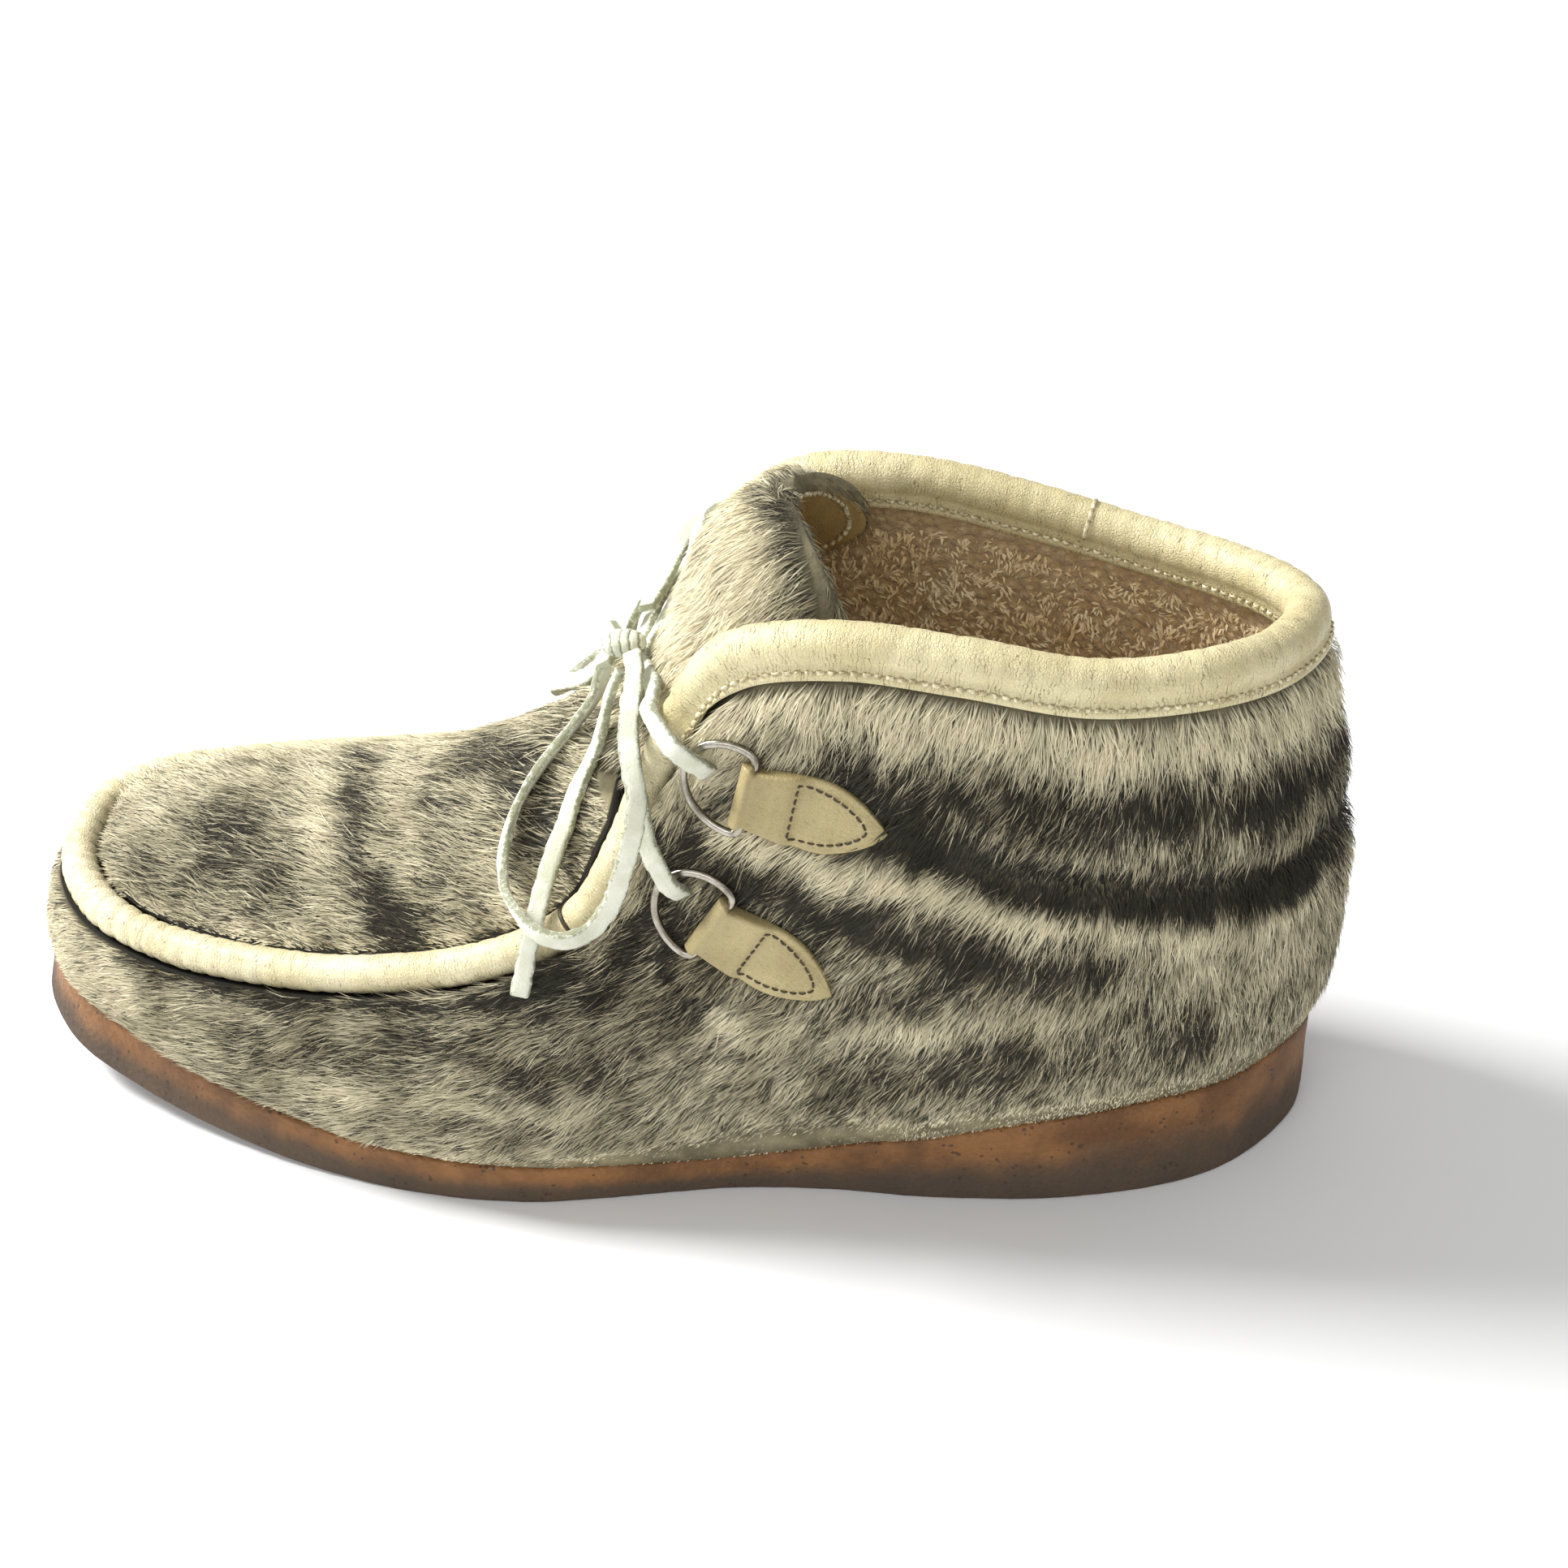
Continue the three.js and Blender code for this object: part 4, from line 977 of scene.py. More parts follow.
def leather_material(name, pale, deep, dirt_and_shade, crack_amount, spacing, fleck, grain_depth=0.35):
    """Smooth hide leather with cloudy colour, fine grain and cracks where it is bent."""
    material, n, shader = start_material(name, Specular_IOR_Level=0.55)
    place = here(n)
    clouds = clouded(n, place, pale, deep, 55.0, 0.8)
    grain = placed_effect(n, GRAIN, Place=place, Grain_Size=1300.0, Depth=grain_depth)
    flecks = placed_effect(n, SPECKLE, Place=place, Fleck_Size=640.0, Density=fleck)
    cracks = placed_effect(
        n,
        CRACKS,
        Along=n.value_of("along"),
        Round=n.value_of("round"),
        Spacing=spacing,
        Amount=crack_amount,
    )
    crack = cracks.outputs["Crack"]
    # Rubbed wear, and on the collar painted shade in the seam's groove.
    wear_and_shade = n.maths("MULTIPLY", n.value_of("wear_and_shade"), 0.75)
    mark = n.maths("MAXIMUM", crack, n.maths("MULTIPLY", grain.outputs["Valley"], 0.12))
    mark = n.maths("MAXIMUM", mark, flecks.outputs["Fleck"])
    mark = n.maths("MAXIMUM", mark, wear_and_shade, clamp=True)
    tinted = n.blend_colours(mark, clouds.outputs["Colour"], colour(dirt_and_shade))
    n.join(tinted, shader.inputs["Base Color"])
    rough = n.band(n.maths("ADD", clouds.outputs["Cloud"], crack), 0, 1.4, 0.32, 0.6)
    n.join(rough, shader.inputs["Roughness"])
    height = n.maths("SUBTRACT", grain.outputs["Height"], n.maths("MULTIPLY", crack, 1.6))
    bumped(n, shader, height, 0.55, 0.00035)
    return material


def crepe_material():
    """Amber crepe rubber: pale at the top line, darker and greyer toward the ground."""
    material, n, shader = start_material(
        "crepe_rubber",
        Specular_IOR_Level=0.4,
        Subsurface_Weight=0.08,
        Subsurface_Radius=(0.004, 0.002, 0.001),
    )
    place = here(n)
    clouds = clouded(n, place, "96683a", "6c4826", 48.0, 1.0)
    fine = placed_effect(n, SPECKLE, Place=place, Fleck_Size=560.0, Density=0.8)
    uneven = n.maths("MULTIPLY", n.noise(place, 90.0, 5.0, 0.65), 0.55)
    ragged = n.maths("ADD", n.value_of("level"), uneven)
    # Greyer and darker from about halfway down the side to the ground, with a ragged edge.
    toward_ground = n.band(ragged, 0.55, 1.02, 0.85, 0.0)
    greyed_low = n.blend_colours(toward_ground, clouds.outputs["Colour"], colour("4b443b"))
    flecked = n.blend_colours(fine.outputs["Fleck"], greyed_low, colour("4a3524"))
    n.join(flecked, shader.inputs["Base Color"])
    n.join(n.band(toward_ground, 0, 1, 0.48, 0.85), shader.inputs["Roughness"])
    crinkle = n.noise(n.stretched(place, (1.0, 1.0, 1.6)), 520.0, 5.0, 0.7)
    height = n.maths("ADD", crinkle, n.maths("MULTIPLY", n.cells(place, 700.0), 0.5))
    bumped(n, shader, height, 0.75, 0.0009)
    return material


def shearling_material(name, pale, deep):
    """Curled wool pile of the lining."""
    material, n, shader = start_material(
        name, Roughness=0.92, Specular_IOR_Level=0.15, Sheen_Weight=0.25
    )
    place = here(n)
    clouds = clouded(n, place, pale, deep, 170.0, 0.9)
    curls = n.noise(place, 620.0, 4.0, 0.75)
    lumps = n.cells(place, 420.0)
    shadow = n.band(n.maths("ADD", n.maths("MULTIPLY", lumps, 0.8), curls), 0.35, 1.1, 0.0, 0.75)
    shaded = n.blend_colours(shadow, clouds.outputs["Colour"], colour("b8976a"))
    n.join(shaded, shader.inputs["Base Color"])
    bumped(n, shader, n.maths("SUBTRACT", curls, lumps), 1.0, 0.0016)
    return material


def nickel_material():
    """Polished nickel with faint rubbed marks."""
    material, n, shader = start_material("nickel_wire", Metallic=1.0)
    place = here(n)
    clouds = clouded(n, place, "b3aea2", "7d776a", 260.0, 0.8)
    n.join(clouds.outputs["Colour"], shader.inputs["Base Color"])
    rubbed = n.band(n.noise(place, 900.0, 4.0, 0.7), 0.3, 0.75, 0.16, 0.36)
    n.join(rubbed, shader.inputs["Roughness"])
    bumped(n, shader, n.noise(place, 700.0, 3.0), 0.12, 0.0003)
    return material


def suede_material():
    """Split suede of the lace: pale nap, greenish rough edges."""
    material, n, shader = start_material(
        "lace_suede", Roughness=0.93, Specular_IOR_Level=0.15, Sheen_Weight=0.3
    )
    place = here(n)
    clouds = clouded(n, place, "f5f5e4", "dde0c6", 150.0, 0.8)
    uneven = n.maths("MULTIPLY", n.noise(place, 900.0, 4.0, 0.75), 1.1)
    cut = n.band(n.maths("ADD", n.value_of("edge"), uneven), 1.36, 1.55, 0.0, 0.8)
    edged = n.blend_colours(cut, clouds.outputs["Colour"], colour("8e916b"))
    n.join(edged, shader.inputs["Base Color"])
    bumped(n, shader, n.noise(place, 1500.0, 5.0, 0.75), 0.8, 0.0007)
    return material


def thread_material(name, pale, deep):
    """Waxed sewing thread."""
    material, n, shader = start_material(name, Roughness=0.6)
    clouds = clouded(n, here(n), pale, deep, 900.0, 1.0)
    n.join(clouds.outputs["Colour"], shader.inputs["Base Color"])
    return material


HIDE_SKIN = hide_material("hide_undercoat", "968d70", "706952")
LINING = shearling_material("shearling_lining", "f6dfb4", "e0c290")
FOOTBED = shearling_material("shearling_footbed", "bda27a", "957448")
ROLL_LEATHER = leather_material(
    "piping_leather", "e9dfba", "d3c698", "7f7152", crack_amount=0.8, spacing=1.3, fleck=0.14
)
COLLAR_LEATHER = leather_material(
    "collar_leather", "e3d8ac", "cbbe8e", "776946", crack_amount=0.8, spacing=1.2, fleck=0.12
)
TAB_LEATHER = leather_material(
    "tab_leather", "b8a979", "a09061", "84744d", crack_amount=0.2, spacing=0.5, fleck=0.1,
    grain_depth=0.25,
)
CREPE = crepe_material()
NICKEL = nickel_material()
SUEDE = suede_material()
TAB_THREAD = thread_material("tab_thread", "54482f", "2c2518")
TONGUE_LINING = leather_material(
    "tongue_lining", "c8b27e", "a48a58", "6f5a36", crack_amount=0.0, spacing=1.0, fleck=0.35,
    grain_depth=0.4,
)
COLLAR_THREAD = thread_material("collar_thread", "efe6c4", "9a8c62")
FUR = fur_material("seal_fur", "efe6c6", "a0977a", "1b1b17")
WOOL = fur_material("shearling_wool", "fff0cc", "ecd2a2", "cfa972", root_light=0.94)


# Lace, made first. Cords follow the routes of their solids.
def rough_ribbon(name, points, stations, face_at, seed):
    """A flat suede lace with rough cut edges. Returns the piece and the middle of its rings."""
    spans = len(points) - 1
    centres, along, _ = evenly_spaced(open_curve(points), spans, stations)
    faces = face_at(centres)
    faces = unit(faces - along * dot(faces, along)[:, None])
    wides = unit(np.cross(along, faces))
    a = LACE_WIDTH / 2 * LACE_WORN
    b = LACE_THICK / 2
    flat = np.linspace(-0.86, 0.86, 6)
    top = [(w * a, b * (1 - 0.16 * abs(w) ** 3)) for w in flat[::-1]]
    low = [(w * a, -b * (1 - 0.16 * abs(w) ** 3)) for w in flat]
    side = [(-a, b * 0.45), (-a * 0.99, 0), (-a, -b * 0.45)]
    section = np.array(top + side + low + mirrored(side))
    rings = rolled(centres, wides, faces, section)
    outer = np.abs(section[:, 0]) > a * 0.8
    ragged = soft_noise(rings, 1.1, seed) * 0.28 + soft_noise(rings, 0.5, seed + 1) * 0.14
    nap = soft_noise(rings, 2.4, seed + 2) * 0.12
    rings = rings + wides[:, None, :] * (ragged * outer * np.sign(section[:, 0]))[..., None]
    rings = rings + faces[:, None, :] * (nap * np.sign(section[:, 1]))[..., None]
    points_out, quads = closed_sweep(rings)
    piece = new_piece(name, points_out, quads)
    edge = np.broadcast_to(np.abs(section[:, 0]) / a, rings.shape[:2])
    edge = np.vstack([edge[:1] * 0 + 1.1] * 2 + [edge] + [edge[:1] * 0 + 1.1] * 2)
    keep_value(piece, "edge", edge)
    return piece, centres


def whole_bar(rows):
    return np.vstack([lace_points(rows, -1), lace_points(rows[:-1], 1)[::-1]])


def loop_facing(points):
    centre = points.mean(0)
    return lambda p: away_from_foot(p) * 0.9 + unit(p - centre) * 0.6


def lace_knot():
    """The knot: a rounded core with the folds of the turns that are drawn over it."""
    centre = lace_points([KNOT_AT], -1)[0]
    share = np.linspace(-0.985, 0.985, 26)
    angle = full_turn(40)
    round_off = np.sqrt(1 - np.abs(share) ** 2.6)
    x = centre[0] + share[:, None] * KNOT_LENGTH / 2 + 0 * angle[None, :]
    y = centre[1] + round_off[:, None] * np.cos(angle) * KNOT_WIDTH / 2
    z = centre[2] + round_off[:, None] * np.sin(angle) * KNOT_HEIGHT / 2
    body = np.stack([x, y, z], -1)
    from_core = unit(body - centre)
    fold = np.sin(share[:, None] * 7.5 + np.sin(angle)[None, :] * 1.1)
    pinch = -0.55 * np.exp(-((fold / 0.22) ** 2))
    body = body + from_core * (pinch + soft_noise(body, 1.2, 5) * 0.18)[..., None]
    points_out, quads = closed_sweep(body)
    piece = new_piece("lace_knot_wrap", points_out, quads)
    edge = np.where(np.abs(fold) < 0.35, 1.2, 0.4)
    edge = np.vstack([edge[:1]] * 2 + [edge] + [edge[:1]] * 2)
    keep_value(piece, "edge", edge)
    return finish_piece(piece, SUEDE, "lace", "lace_knot")


def lace_pieces():
    knot = lace_knot()
    for side, where in ((-1, "outer"), (1, "inner")):
        for kind, rows, stations, far_end in (("loop", LOOP, 150, "object"), ("end", END, 66, "bare")):
            points = lace_points(rows, side)
            face_at = loop_facing(points) if kind == "loop" else away_from_foot
            name = f"lace_bow_{kind}_{where}"
            piece, centres = rough_ribbon(name, points, stations, face_at, 11 + side)
            finish_piece(piece, SUEDE, "lace", f"lace_{kind}_{where}")
            route = metres(centres)
    for level, rows, stations, seed in (("lower", LOWER_BAR, 150, 31), ("upper", UPPER_BAR, 120, 37)):
        bar, _ = rough_ribbon(
            f"lace_crossing_{level}", whole_bar(rows), stations, away_from_foot, seed
        )
        finish_piece(bar, SUEDE, "lace", "lace_bars")


lace_pieces()


# Sole and footbed.
def ladder_lid(edge, z_at, steps=10):
    """A grid across a closed edge, from its outer half to its inner half, with its heights."""
    count = len(edge)
    toe = int(round(count * TOE_ROW / ROWS))
    reach = count // 2 - 1
    far = [edge[(toe - k) % count] for k in range(1, reach + 1)]
    near = [edge[(toe + k) % count] for k in range(1, reach + 1)]
    share = np.linspace(0, 1, steps + 1)[None, :, None]
    grid = np.array(far)[:, None, :] * (1 - share) + np.array(near)[:, None, :] * share
    grid[..., 2] = z_at(grid[..., 0])
    return grid


def lidded_piece(name, rings, lid, base):
    """A closed piece of rings up its side, a grid over its top and a grid under it."""
    first = rings[..., 0].size
    quads = [
        grid_quads(*rings.shape[:2], False, True),
        grid_quads(*lid.shape[:2], first=first),
        grid_quads(*base.shape[:2], first=first + lid[..., 0].size)[:, ::-1],
    ]
    points_out = np.vstack([part.reshape(-1, 3) for part in (rings, lid, base)])
    return new_piece(name, points_out, np.vstack(quads))


def crepe_sole():
    """The wedge: a side wall with softened edges, a tread with crepe ripples, and its top."""
    count = 360
    row = np.arange(count) * ROWS / count
    x = foot_line(row)[..., 0]
    low = sole_bottom(x)
    high = sole_top(x)
    lean = flare(x) / (high - low)
    low_edge = ((0.0, 2.6), (0.0, 1.2), (0.3, 0.35), (1.1, 0.0))
    high_edge = ((-0.9, 0.05), (-0.25, 0.4), (0.0, 1.1), (0.0, 2.6))
    levels = [(low + rise, inset) for rise, inset in low_edge]
    levels += [(low + (high - low) * share, 0.0) for share in (0.2, 0.35, 0.5, 0.65, 0.8)]
    levels += [(high + rise, inset) for rise, inset in high_edge]
    rings = np.array([outline_at(row, inset + lean * (z - low), z) for z, inset in levels])
    heights = np.array([(z - low) / (high - low) for z, _ in levels])
    side_part = np.array([0, 0, 0.4, 1, 1, 1, 1, 1, 1, 0.7, 0.4, 0, 0])[:, None]
    n = outward(foot_line, row)[None, :, :]
    rough = soft_noise(rings * (1, 1, 2.2), 3.2, 3) * 0.22 + soft_noise(rings, 1.3, 4) * 0.1
    rings = rings + n * ((rough - 0.16) * side_part)[..., None]
    lid = ladder_lid(rings[-1], sole_top)
    base = ladder_lid(rings[0], sole_bottom)
    tread = 0.35 + 0.35 * np.sin(base[..., 0] * 1.5 + soft_noise(base, 9, 8) * 1.6)
    inside = np.sin(np.linspace(0, np.pi, base.shape[1]))[None, :] > 0.2
    base[..., 2] += tread * inside
    piece = lidded_piece("crepe_wedge", rings, lid, base)
    level = [heights.ravel(), np.ones(lid[..., 0].size), np.zeros(base[..., 0].size)]
    keep_value(piece, "level", np.concatenate(level))
    return finish_piece(piece, CREPE, "outsole", "outsole")


def footbed():
    """The wool footbed, with a curled surface."""
    count = 300
    row = np.arange(count) * ROWS / count
    rings = []
    for inset, rise in ((2.2, 0.1), (0.6, 0.3), (0.15, 1.4), (0.15, 2.8), (0.7, 3.6), (2.2, 3.95)):
        ring = outline_at(row, INSOLE_INSET + inset + flare(foot_line(row)[..., 0]), 0)
        ring[..., 2] = sole_top(ring[..., 0]) + GAP + rise
        rings.append(ring)
    rings = np.array(rings)
    lid = ladder_lid(rings[-1], lambda x: sole_top(x) + GAP + INSOLE_THICK, 26)
    lid[..., 2] += soft_noise(lid, 2.6, 21) * 0.35 - 0.35
    base = ladder_lid(rings[0], lambda x: sole_top(x) + GAP + 0.1)
    piece = lidded_piece("wool_footbed", rings, lid, base)
    return finish_piece(piece, FOOTBED, "insole", "insole")


crepe_sole()
footbed()


# Wall, apron and tongue skins.
# Folds of the wall: row, spread in rows, from and to up the wall, and depth in millimetres.
WALL_FOLDS = [
    (1.2, 0.5, 0.3, 0.9, -0.7),
    (3.4, 0.6, 0.25, 0.8, 0.6),
    (5.6, 0.7, 0.2, 0.7, -0.6),
    (8.3, 0.35, 0.2, 0.95, -0.8),
    (9.4, 0.3, 0.3, 0.95, 0.5),
    (12.6, 0.4, 0.1, 0.8, -0.5),
    (14.5, 0.2, 0.4, 1.0, -0.6),
    (15.3, 0.2, 0.4, 1.0, 0.6),
    (16.1, 0.2, 0.4, 1.0, -0.7),
    (17.2, 0.2, 0.4, 1.0, -0.6),
    (18.1, 0.2, 0.4, 1.0, 0.5),
    (23.6, 0.4, 0.3, 0.9, -0.8),
    (28.0, 0.6, 0.2, 0.8, 0.6),
    (31.2, 0.6, 0.2, 0.8, -0.6),
]


def wall_rumple(row, share, p):
    """The wall hide's soft folds, in millimetres out of the wall."""
    rows = np.mod(row, ROWS)
    total = soft_noise(p, 16, 2) * 0.35
    for at, spread, low, high, amount in WALL_FOLDS:
        near = np.exp(-(((rows - at + ROWS / 2) % ROWS - ROWS / 2) / spread) ** 2)
        part = eased((share - low) / 0.12) * eased((high - share) / 0.12)
        total = total + near * part * amount
    return total


def two_faced(piece, quads, rings, lining, slot, node):
    """Bare hide on the first half of each ring, and the lining on the other half."""
    piece.data.materials.append(HIDE_SKIN)
    finish_piece(piece, lining, slot, node)
    around = rings.shape[1]
    inside = (quads % around >= around // 2).sum(1) >= 3
    piece.data.polygons.foreach_set("material_index", inside.astype(np.int32))


def wall_hide():
    """The wall: fur side, rim and shearling side in one closed skin."""
    row = np.arange(0, ROWS, WALL_STEP)[:, None]
    rim = rim_share(row)
    out_share = np.linspace(0, 1, 27)[None, :] * rim
    in_share = np.linspace(1, 0, 27)[None, :] * rim
    outer = wall_point(row, out_share, WALL_THICK / 2)
    outer += wall_normal(row, out_share) * wall_rumple(row, out_share / rim, outer)[..., None]
    inner = wall_point(row, in_share, -WALL_THICK / 2)
    pile = soft_noise(inner, 2.2, 6) * 0.3 + soft_noise(inner, 1.0, 7) * 0.12
    inner -= wall_normal(row, in_share) * pile[..., None]
    for face in (inner, outer):
        face[..., 2] = np.maximum(face[..., 2], sole_top(face[..., 0]) + WALL_SEAT)
    rings = np.concatenate([outer, inner], 1)
    quads = facing_out(rings, grid_quads(*rings.shape[:2], True, True))
    piece = new_piece("wall_hide", rings, quads)
    two_faced(piece, quads, rings, LINING, "upper", "upper")
    both = np.concatenate([out_share / rim, in_share / rim], 1)
    # The fur's markings, and painted shadow on the skin just under the collar and the piping.
    shade = wall_darkness(row + 0 * both, both, rings) + 1.2 * eased((both - 0.95) / 0.03)
    keep_value(piece, "shade", np.clip(shade, 0, 1))
    return piece


def bent_skin(part, hide, thick, steps, seed, darkness, lining, edge_painted_shade=0.0):
    """A closed skin of a bent hide: fur in front, its lining behind, painted shade along its side edges."""
    place, facing = hide
    along, across = steps
    at = np.linspace(0, 1, along + 1)[:, None] + np.zeros((1, across + 1))
    w = np.sin(np.linspace(-1, 1, across + 1) * np.pi / 2)[None, :] + 0 * at
    middle = place(at, w)
    n = facing(at, w)
    front = middle + n * (thick / 2 + soft_noise(middle, 12, 9) * 0.25)[..., None]
    curls = soft_noise(middle, 2.2, seed) * 0.3
    back = (middle - n * (thick / 2 + curls)[..., None])[:, ::-1]
    rings = np.concatenate([front, back], 1)
    points_out, quads = closed_sweep(rings)
    piece = new_piece(f"{part}_hide", points_out, quads)
    two_faced(piece, quads, rings, lining, part, part)
    both = np.concatenate([w, w[:, ::-1]], 1)
    shade = darkness(np.concatenate([at, at], 1), both, rings)
    # Painted shade along the side edges stands for the groove under the piping.
    shade = to_ends(shade + edge_painted_shade * eased((np.abs(both) - 0.955) / 0.02))
    keep_value(piece, "shade", np.clip(shade, 0, 1))
    for value in ("along", "round", "wear_and_shade"):
        keep_value(piece, value, 0 * shade)


APRON = apron_hide()
TONGUE_HIDE = tongue_hide()


def skins():
    wall_hide()
    bent_skin("apron", APRON, APRON_THICK, (60, 40), 14, apron_darkness, LINING, 1.0)
    bent_skin("tongue", TONGUE_HIDE, TONGUE_THICK, (50, 36), 15, tongue_darkness, TONGUE_LINING)


# Leather rolls.
def roll_frame(row):
    """The centre line of a roll, the way along it, and its outward and upward directions."""
    centre = top_line(row)
    along = unit(top_line(row + 0.05) - top_line(row - 0.05))
    up = centre - wall_middle(row, rim_share(row))
    up = unit(up - along * dot(up, along)[..., None])
    out = unit(np.cross(along, up))
    turn = np.sign(dot(out, outward(top_line, row)))
    return centre, along, out * turn[..., None], up


def leather_roll(name, rows, section, puckers, node, material, wear_and_shade, seed):
    """A padded leather roll with puckers across it, along the line of rows."""
    centre, _, out, up = roll_frame(rows)
    rings = rolled(centre, out, up, section)
    run = run_along(centre)
    from_core = unit(rings - centre[:, None, :])
    rings = rings + from_core * puckers(run, rings, seed)[..., None]
    points_out, quads = closed_sweep(rings)
    piece = new_piece(name, points_out, quads)
    around = np.broadcast_to(np.linspace(0, 6, section.shape[-2], endpoint=False), rings.shape[:2])
    keep_value(piece, "along", to_ends(np.broadcast_to(run[:, None], rings.shape[:2])))
    keep_value(piece, "round", to_ends(around))
    keep_value(piece, "wear_and_shade", to_ends(wear_and_shade(rings)))
    finish_piece(piece, material, node, node)


def piping_puckers(run, rings, seed):
    """Cross folds every few millimetres, closer and deeper round the toe."""
    toe = np.clip((np.abs(rings[..., 0] + SOLE_LENGTH / 2 - 12) / 60), 0, 1)
    depth = 0.62 - 0.42 * toe
    warp = soft_noise(rings, 9, seed) * 1.4
    fold = np.sin(run[:, None] * 1.45 + warp * 2.4)
    fine = soft_noise(rings, 1.6, seed + 1) * 0.12
    return -depth * np.maximum(0, fold) ** 3 + fine + soft_noise(rings, 14, seed + 2) * 0.22


def apron_roll():
    rows = np.arange(PIPING_START, PIPING_END + 0.001, ROLL_STEP)
    radius = PIPING_RADIUS * 0.985

    def wear_and_shade(rings):
        return np.clip(soft_noise(rings, 10, 55) * 1.4 - 0.75, 0, 1)

    leather_roll(
        "apron_roll", rows, oval(radius, radius, 28), piping_puckers, "apron_piping", ROLL_LEATHER,
        wear_and_shade, 40,
    )


def flange_share(row):
    to_end = np.minimum(COLLAR_END - row, row - COLLAR_START)
    return 0.65 + 0.35 * eased(to_end / 1.4)


def collar_section():
    """The collar's section: flange, seam and roll outside, and the channel that holds the wall."""
    half = WALL_THICK / 2 + GAP + 0.35
    skin = half + FLANGE_THICK
    r = COLLAR_RADIUS
    reach = FLANGE_REACH
    flange = [(skin - 0.1, -reach), (skin + 0.3, -reach + 0.25), (skin + 0.15, -SEAM_DEPTH - 0.55)]
    flange += [(skin - 0.3, -SEAM_DEPTH), (skin + 0.1, -SEAM_DEPTH + 0.45), (r * 0.84, -r * 0.56)]
    turns = [math.radians(degrees) for degrees in range(-18, 199, 12)]
    roll = [(r * math.cos(turn), r * math.sin(turn)) for turn in turns]
    roof = -COLLAR_DROP + GAP + 0.5
    channel = [(half, -reach + 0.1), (half, roof - 0.6), (half * 0.7, roof)][::-1]
    outside = flange + roll + mirrored(flange)
    return np.array(outside + mirrored(channel) + [(0, roof)] + channel)


def collar_roll():
    """The collar: a padded roll with a flat stitched flange down each side of the wall."""
    rows = np.arange(COLLAR_START, COLLAR_END + 0.001, ROLL_STEP)
    flat = collar_section()
    section = np.broadcast_to(flat, (len(rows), *flat.shape)).copy()
    share = flange_share(rows)[:, None]
    low = section[..., 1] < -COLLAR_DROP
    short = np.minimum(section[..., 1] * share, -SEAM_DEPTH - 0.5)
    section[..., 1] = np.where(low, short, section[..., 1])
    from_seam = section[..., 1] + SEAM_DEPTH

    def puckers(run, rings, seed):
        toward = np.clip((section[..., 1] + 4.5) / 4, 0, 1)
        fold = np.sin(run[:, None] * 1.2 + soft_noise(rings, 8, seed) * 3.0)
        fine = soft_noise(rings, 1.7, seed + 1) * 0.1
        wave = soft_noise(rings, 17, seed + 2) * 0.35
        amount = -0.22 * np.maximum(0, fold) ** 3 + fine + wave
        stitch = np.cos(run[:, None] * 2 * np.pi / COLLAR_STITCH)
        return amount * toward + 0.16 * stitch * np.exp(-((from_seam / 0.8) ** 2))

    def wear_and_shade(rings):
        # Rubbed patches are wear; the dark line along the seam is painted shade in its groove.
        rub = np.clip(soft_noise(rings, 8, 65) * 1.3 - 0.75, 0, 1)
        return np.maximum(rub, np.exp(-((from_seam / 0.35) ** 2)) * 0.9)

    leather_roll(
        "collar_roll", rows, section, puckers, "collar_binding", COLLAR_LEATHER, wear_and_shade, 60
    )


apron_roll()
collar_roll()


# Stitches.
def thread_run(name, centres, ways, normals, sizes, material, slot):
    """Short threads laid end to end: one small swept body for each row of centres."""
    section = oval(*sizes, 6)
    rings = []
    quads = []
    made = 0
    for spots, way, n in zip(centres, ways, normals):
        side = unit(np.cross(way, n))
        stitch, faces = closed_sweep(rolled(spots, side, n, section))
        quads.append(faces + made)
        rings.append(stitch)
        made += len(stitch)
    piece = new_piece(name, np.vstack(rings), np.vstack(quads))
    return finish_piece(piece, material, slot)


def stitch_spots(run, pitch, places):
    """How far along a seam the points of each stitch lie, a row for each stitch."""
    count = int(run[-1] / pitch)
    return (np.arange(count)[:, None] + np.array(places)) * run[-1] / count


def sewn_line(name, line, normals, pitch, places, rises, sizes, slot):
    """Stitches along a line. Each dips in at both ends and stands up between them."""
    run = run_along(line)
    spots = stitch_spots(run, pitch, places)

    def read(values):
        return np.stack([np.interp(spots, run, values[:, k]) for k in range(3)], -1)

    n = unit(read(normals))
    centres = read(line) + n * np.array(rises)[None, :, None]
    ways = unit(np.gradient(centres, axis=1))
    thread_run(name, centres, ways, n, sizes, COLLAR_THREAD, slot)


# Tabs and rings.
# Half of the leaf of stitches on a tab: share of its length, share of its half width.
STITCHED_LEAF = [
    (0.385, 0.8), (0.5, 0.78), (0.6, 0.72), (0.7, 0.58), (0.78, 0.4), (0.84, 0.2), (0.865, 0.03),
]


def tab_top(share, across):
    """How high the leather's face stands: raised inside the seam, drawn in along it."""
    leaf = eased((share - 0.42) / 0.05) * eased((0.95 - share) / 0.1)
    inside = np.clip(1 - (np.abs(across) / 0.74) ** 6, 0, 1)
    line = np.exp(-(((np.abs(across) - 0.78) / 0.06) ** 2)) * eased((share - 0.4) / 0.03)
    cross = np.exp(-(((share - 0.385) / 0.014) ** 2)) * (np.abs(across) < 0.8)
    thick = tab_thick(share) * TAB_THICK
    return TAB_LIFT + thick + leaf * inside * 0.5 - 0.2 * np.maximum(line, cross)


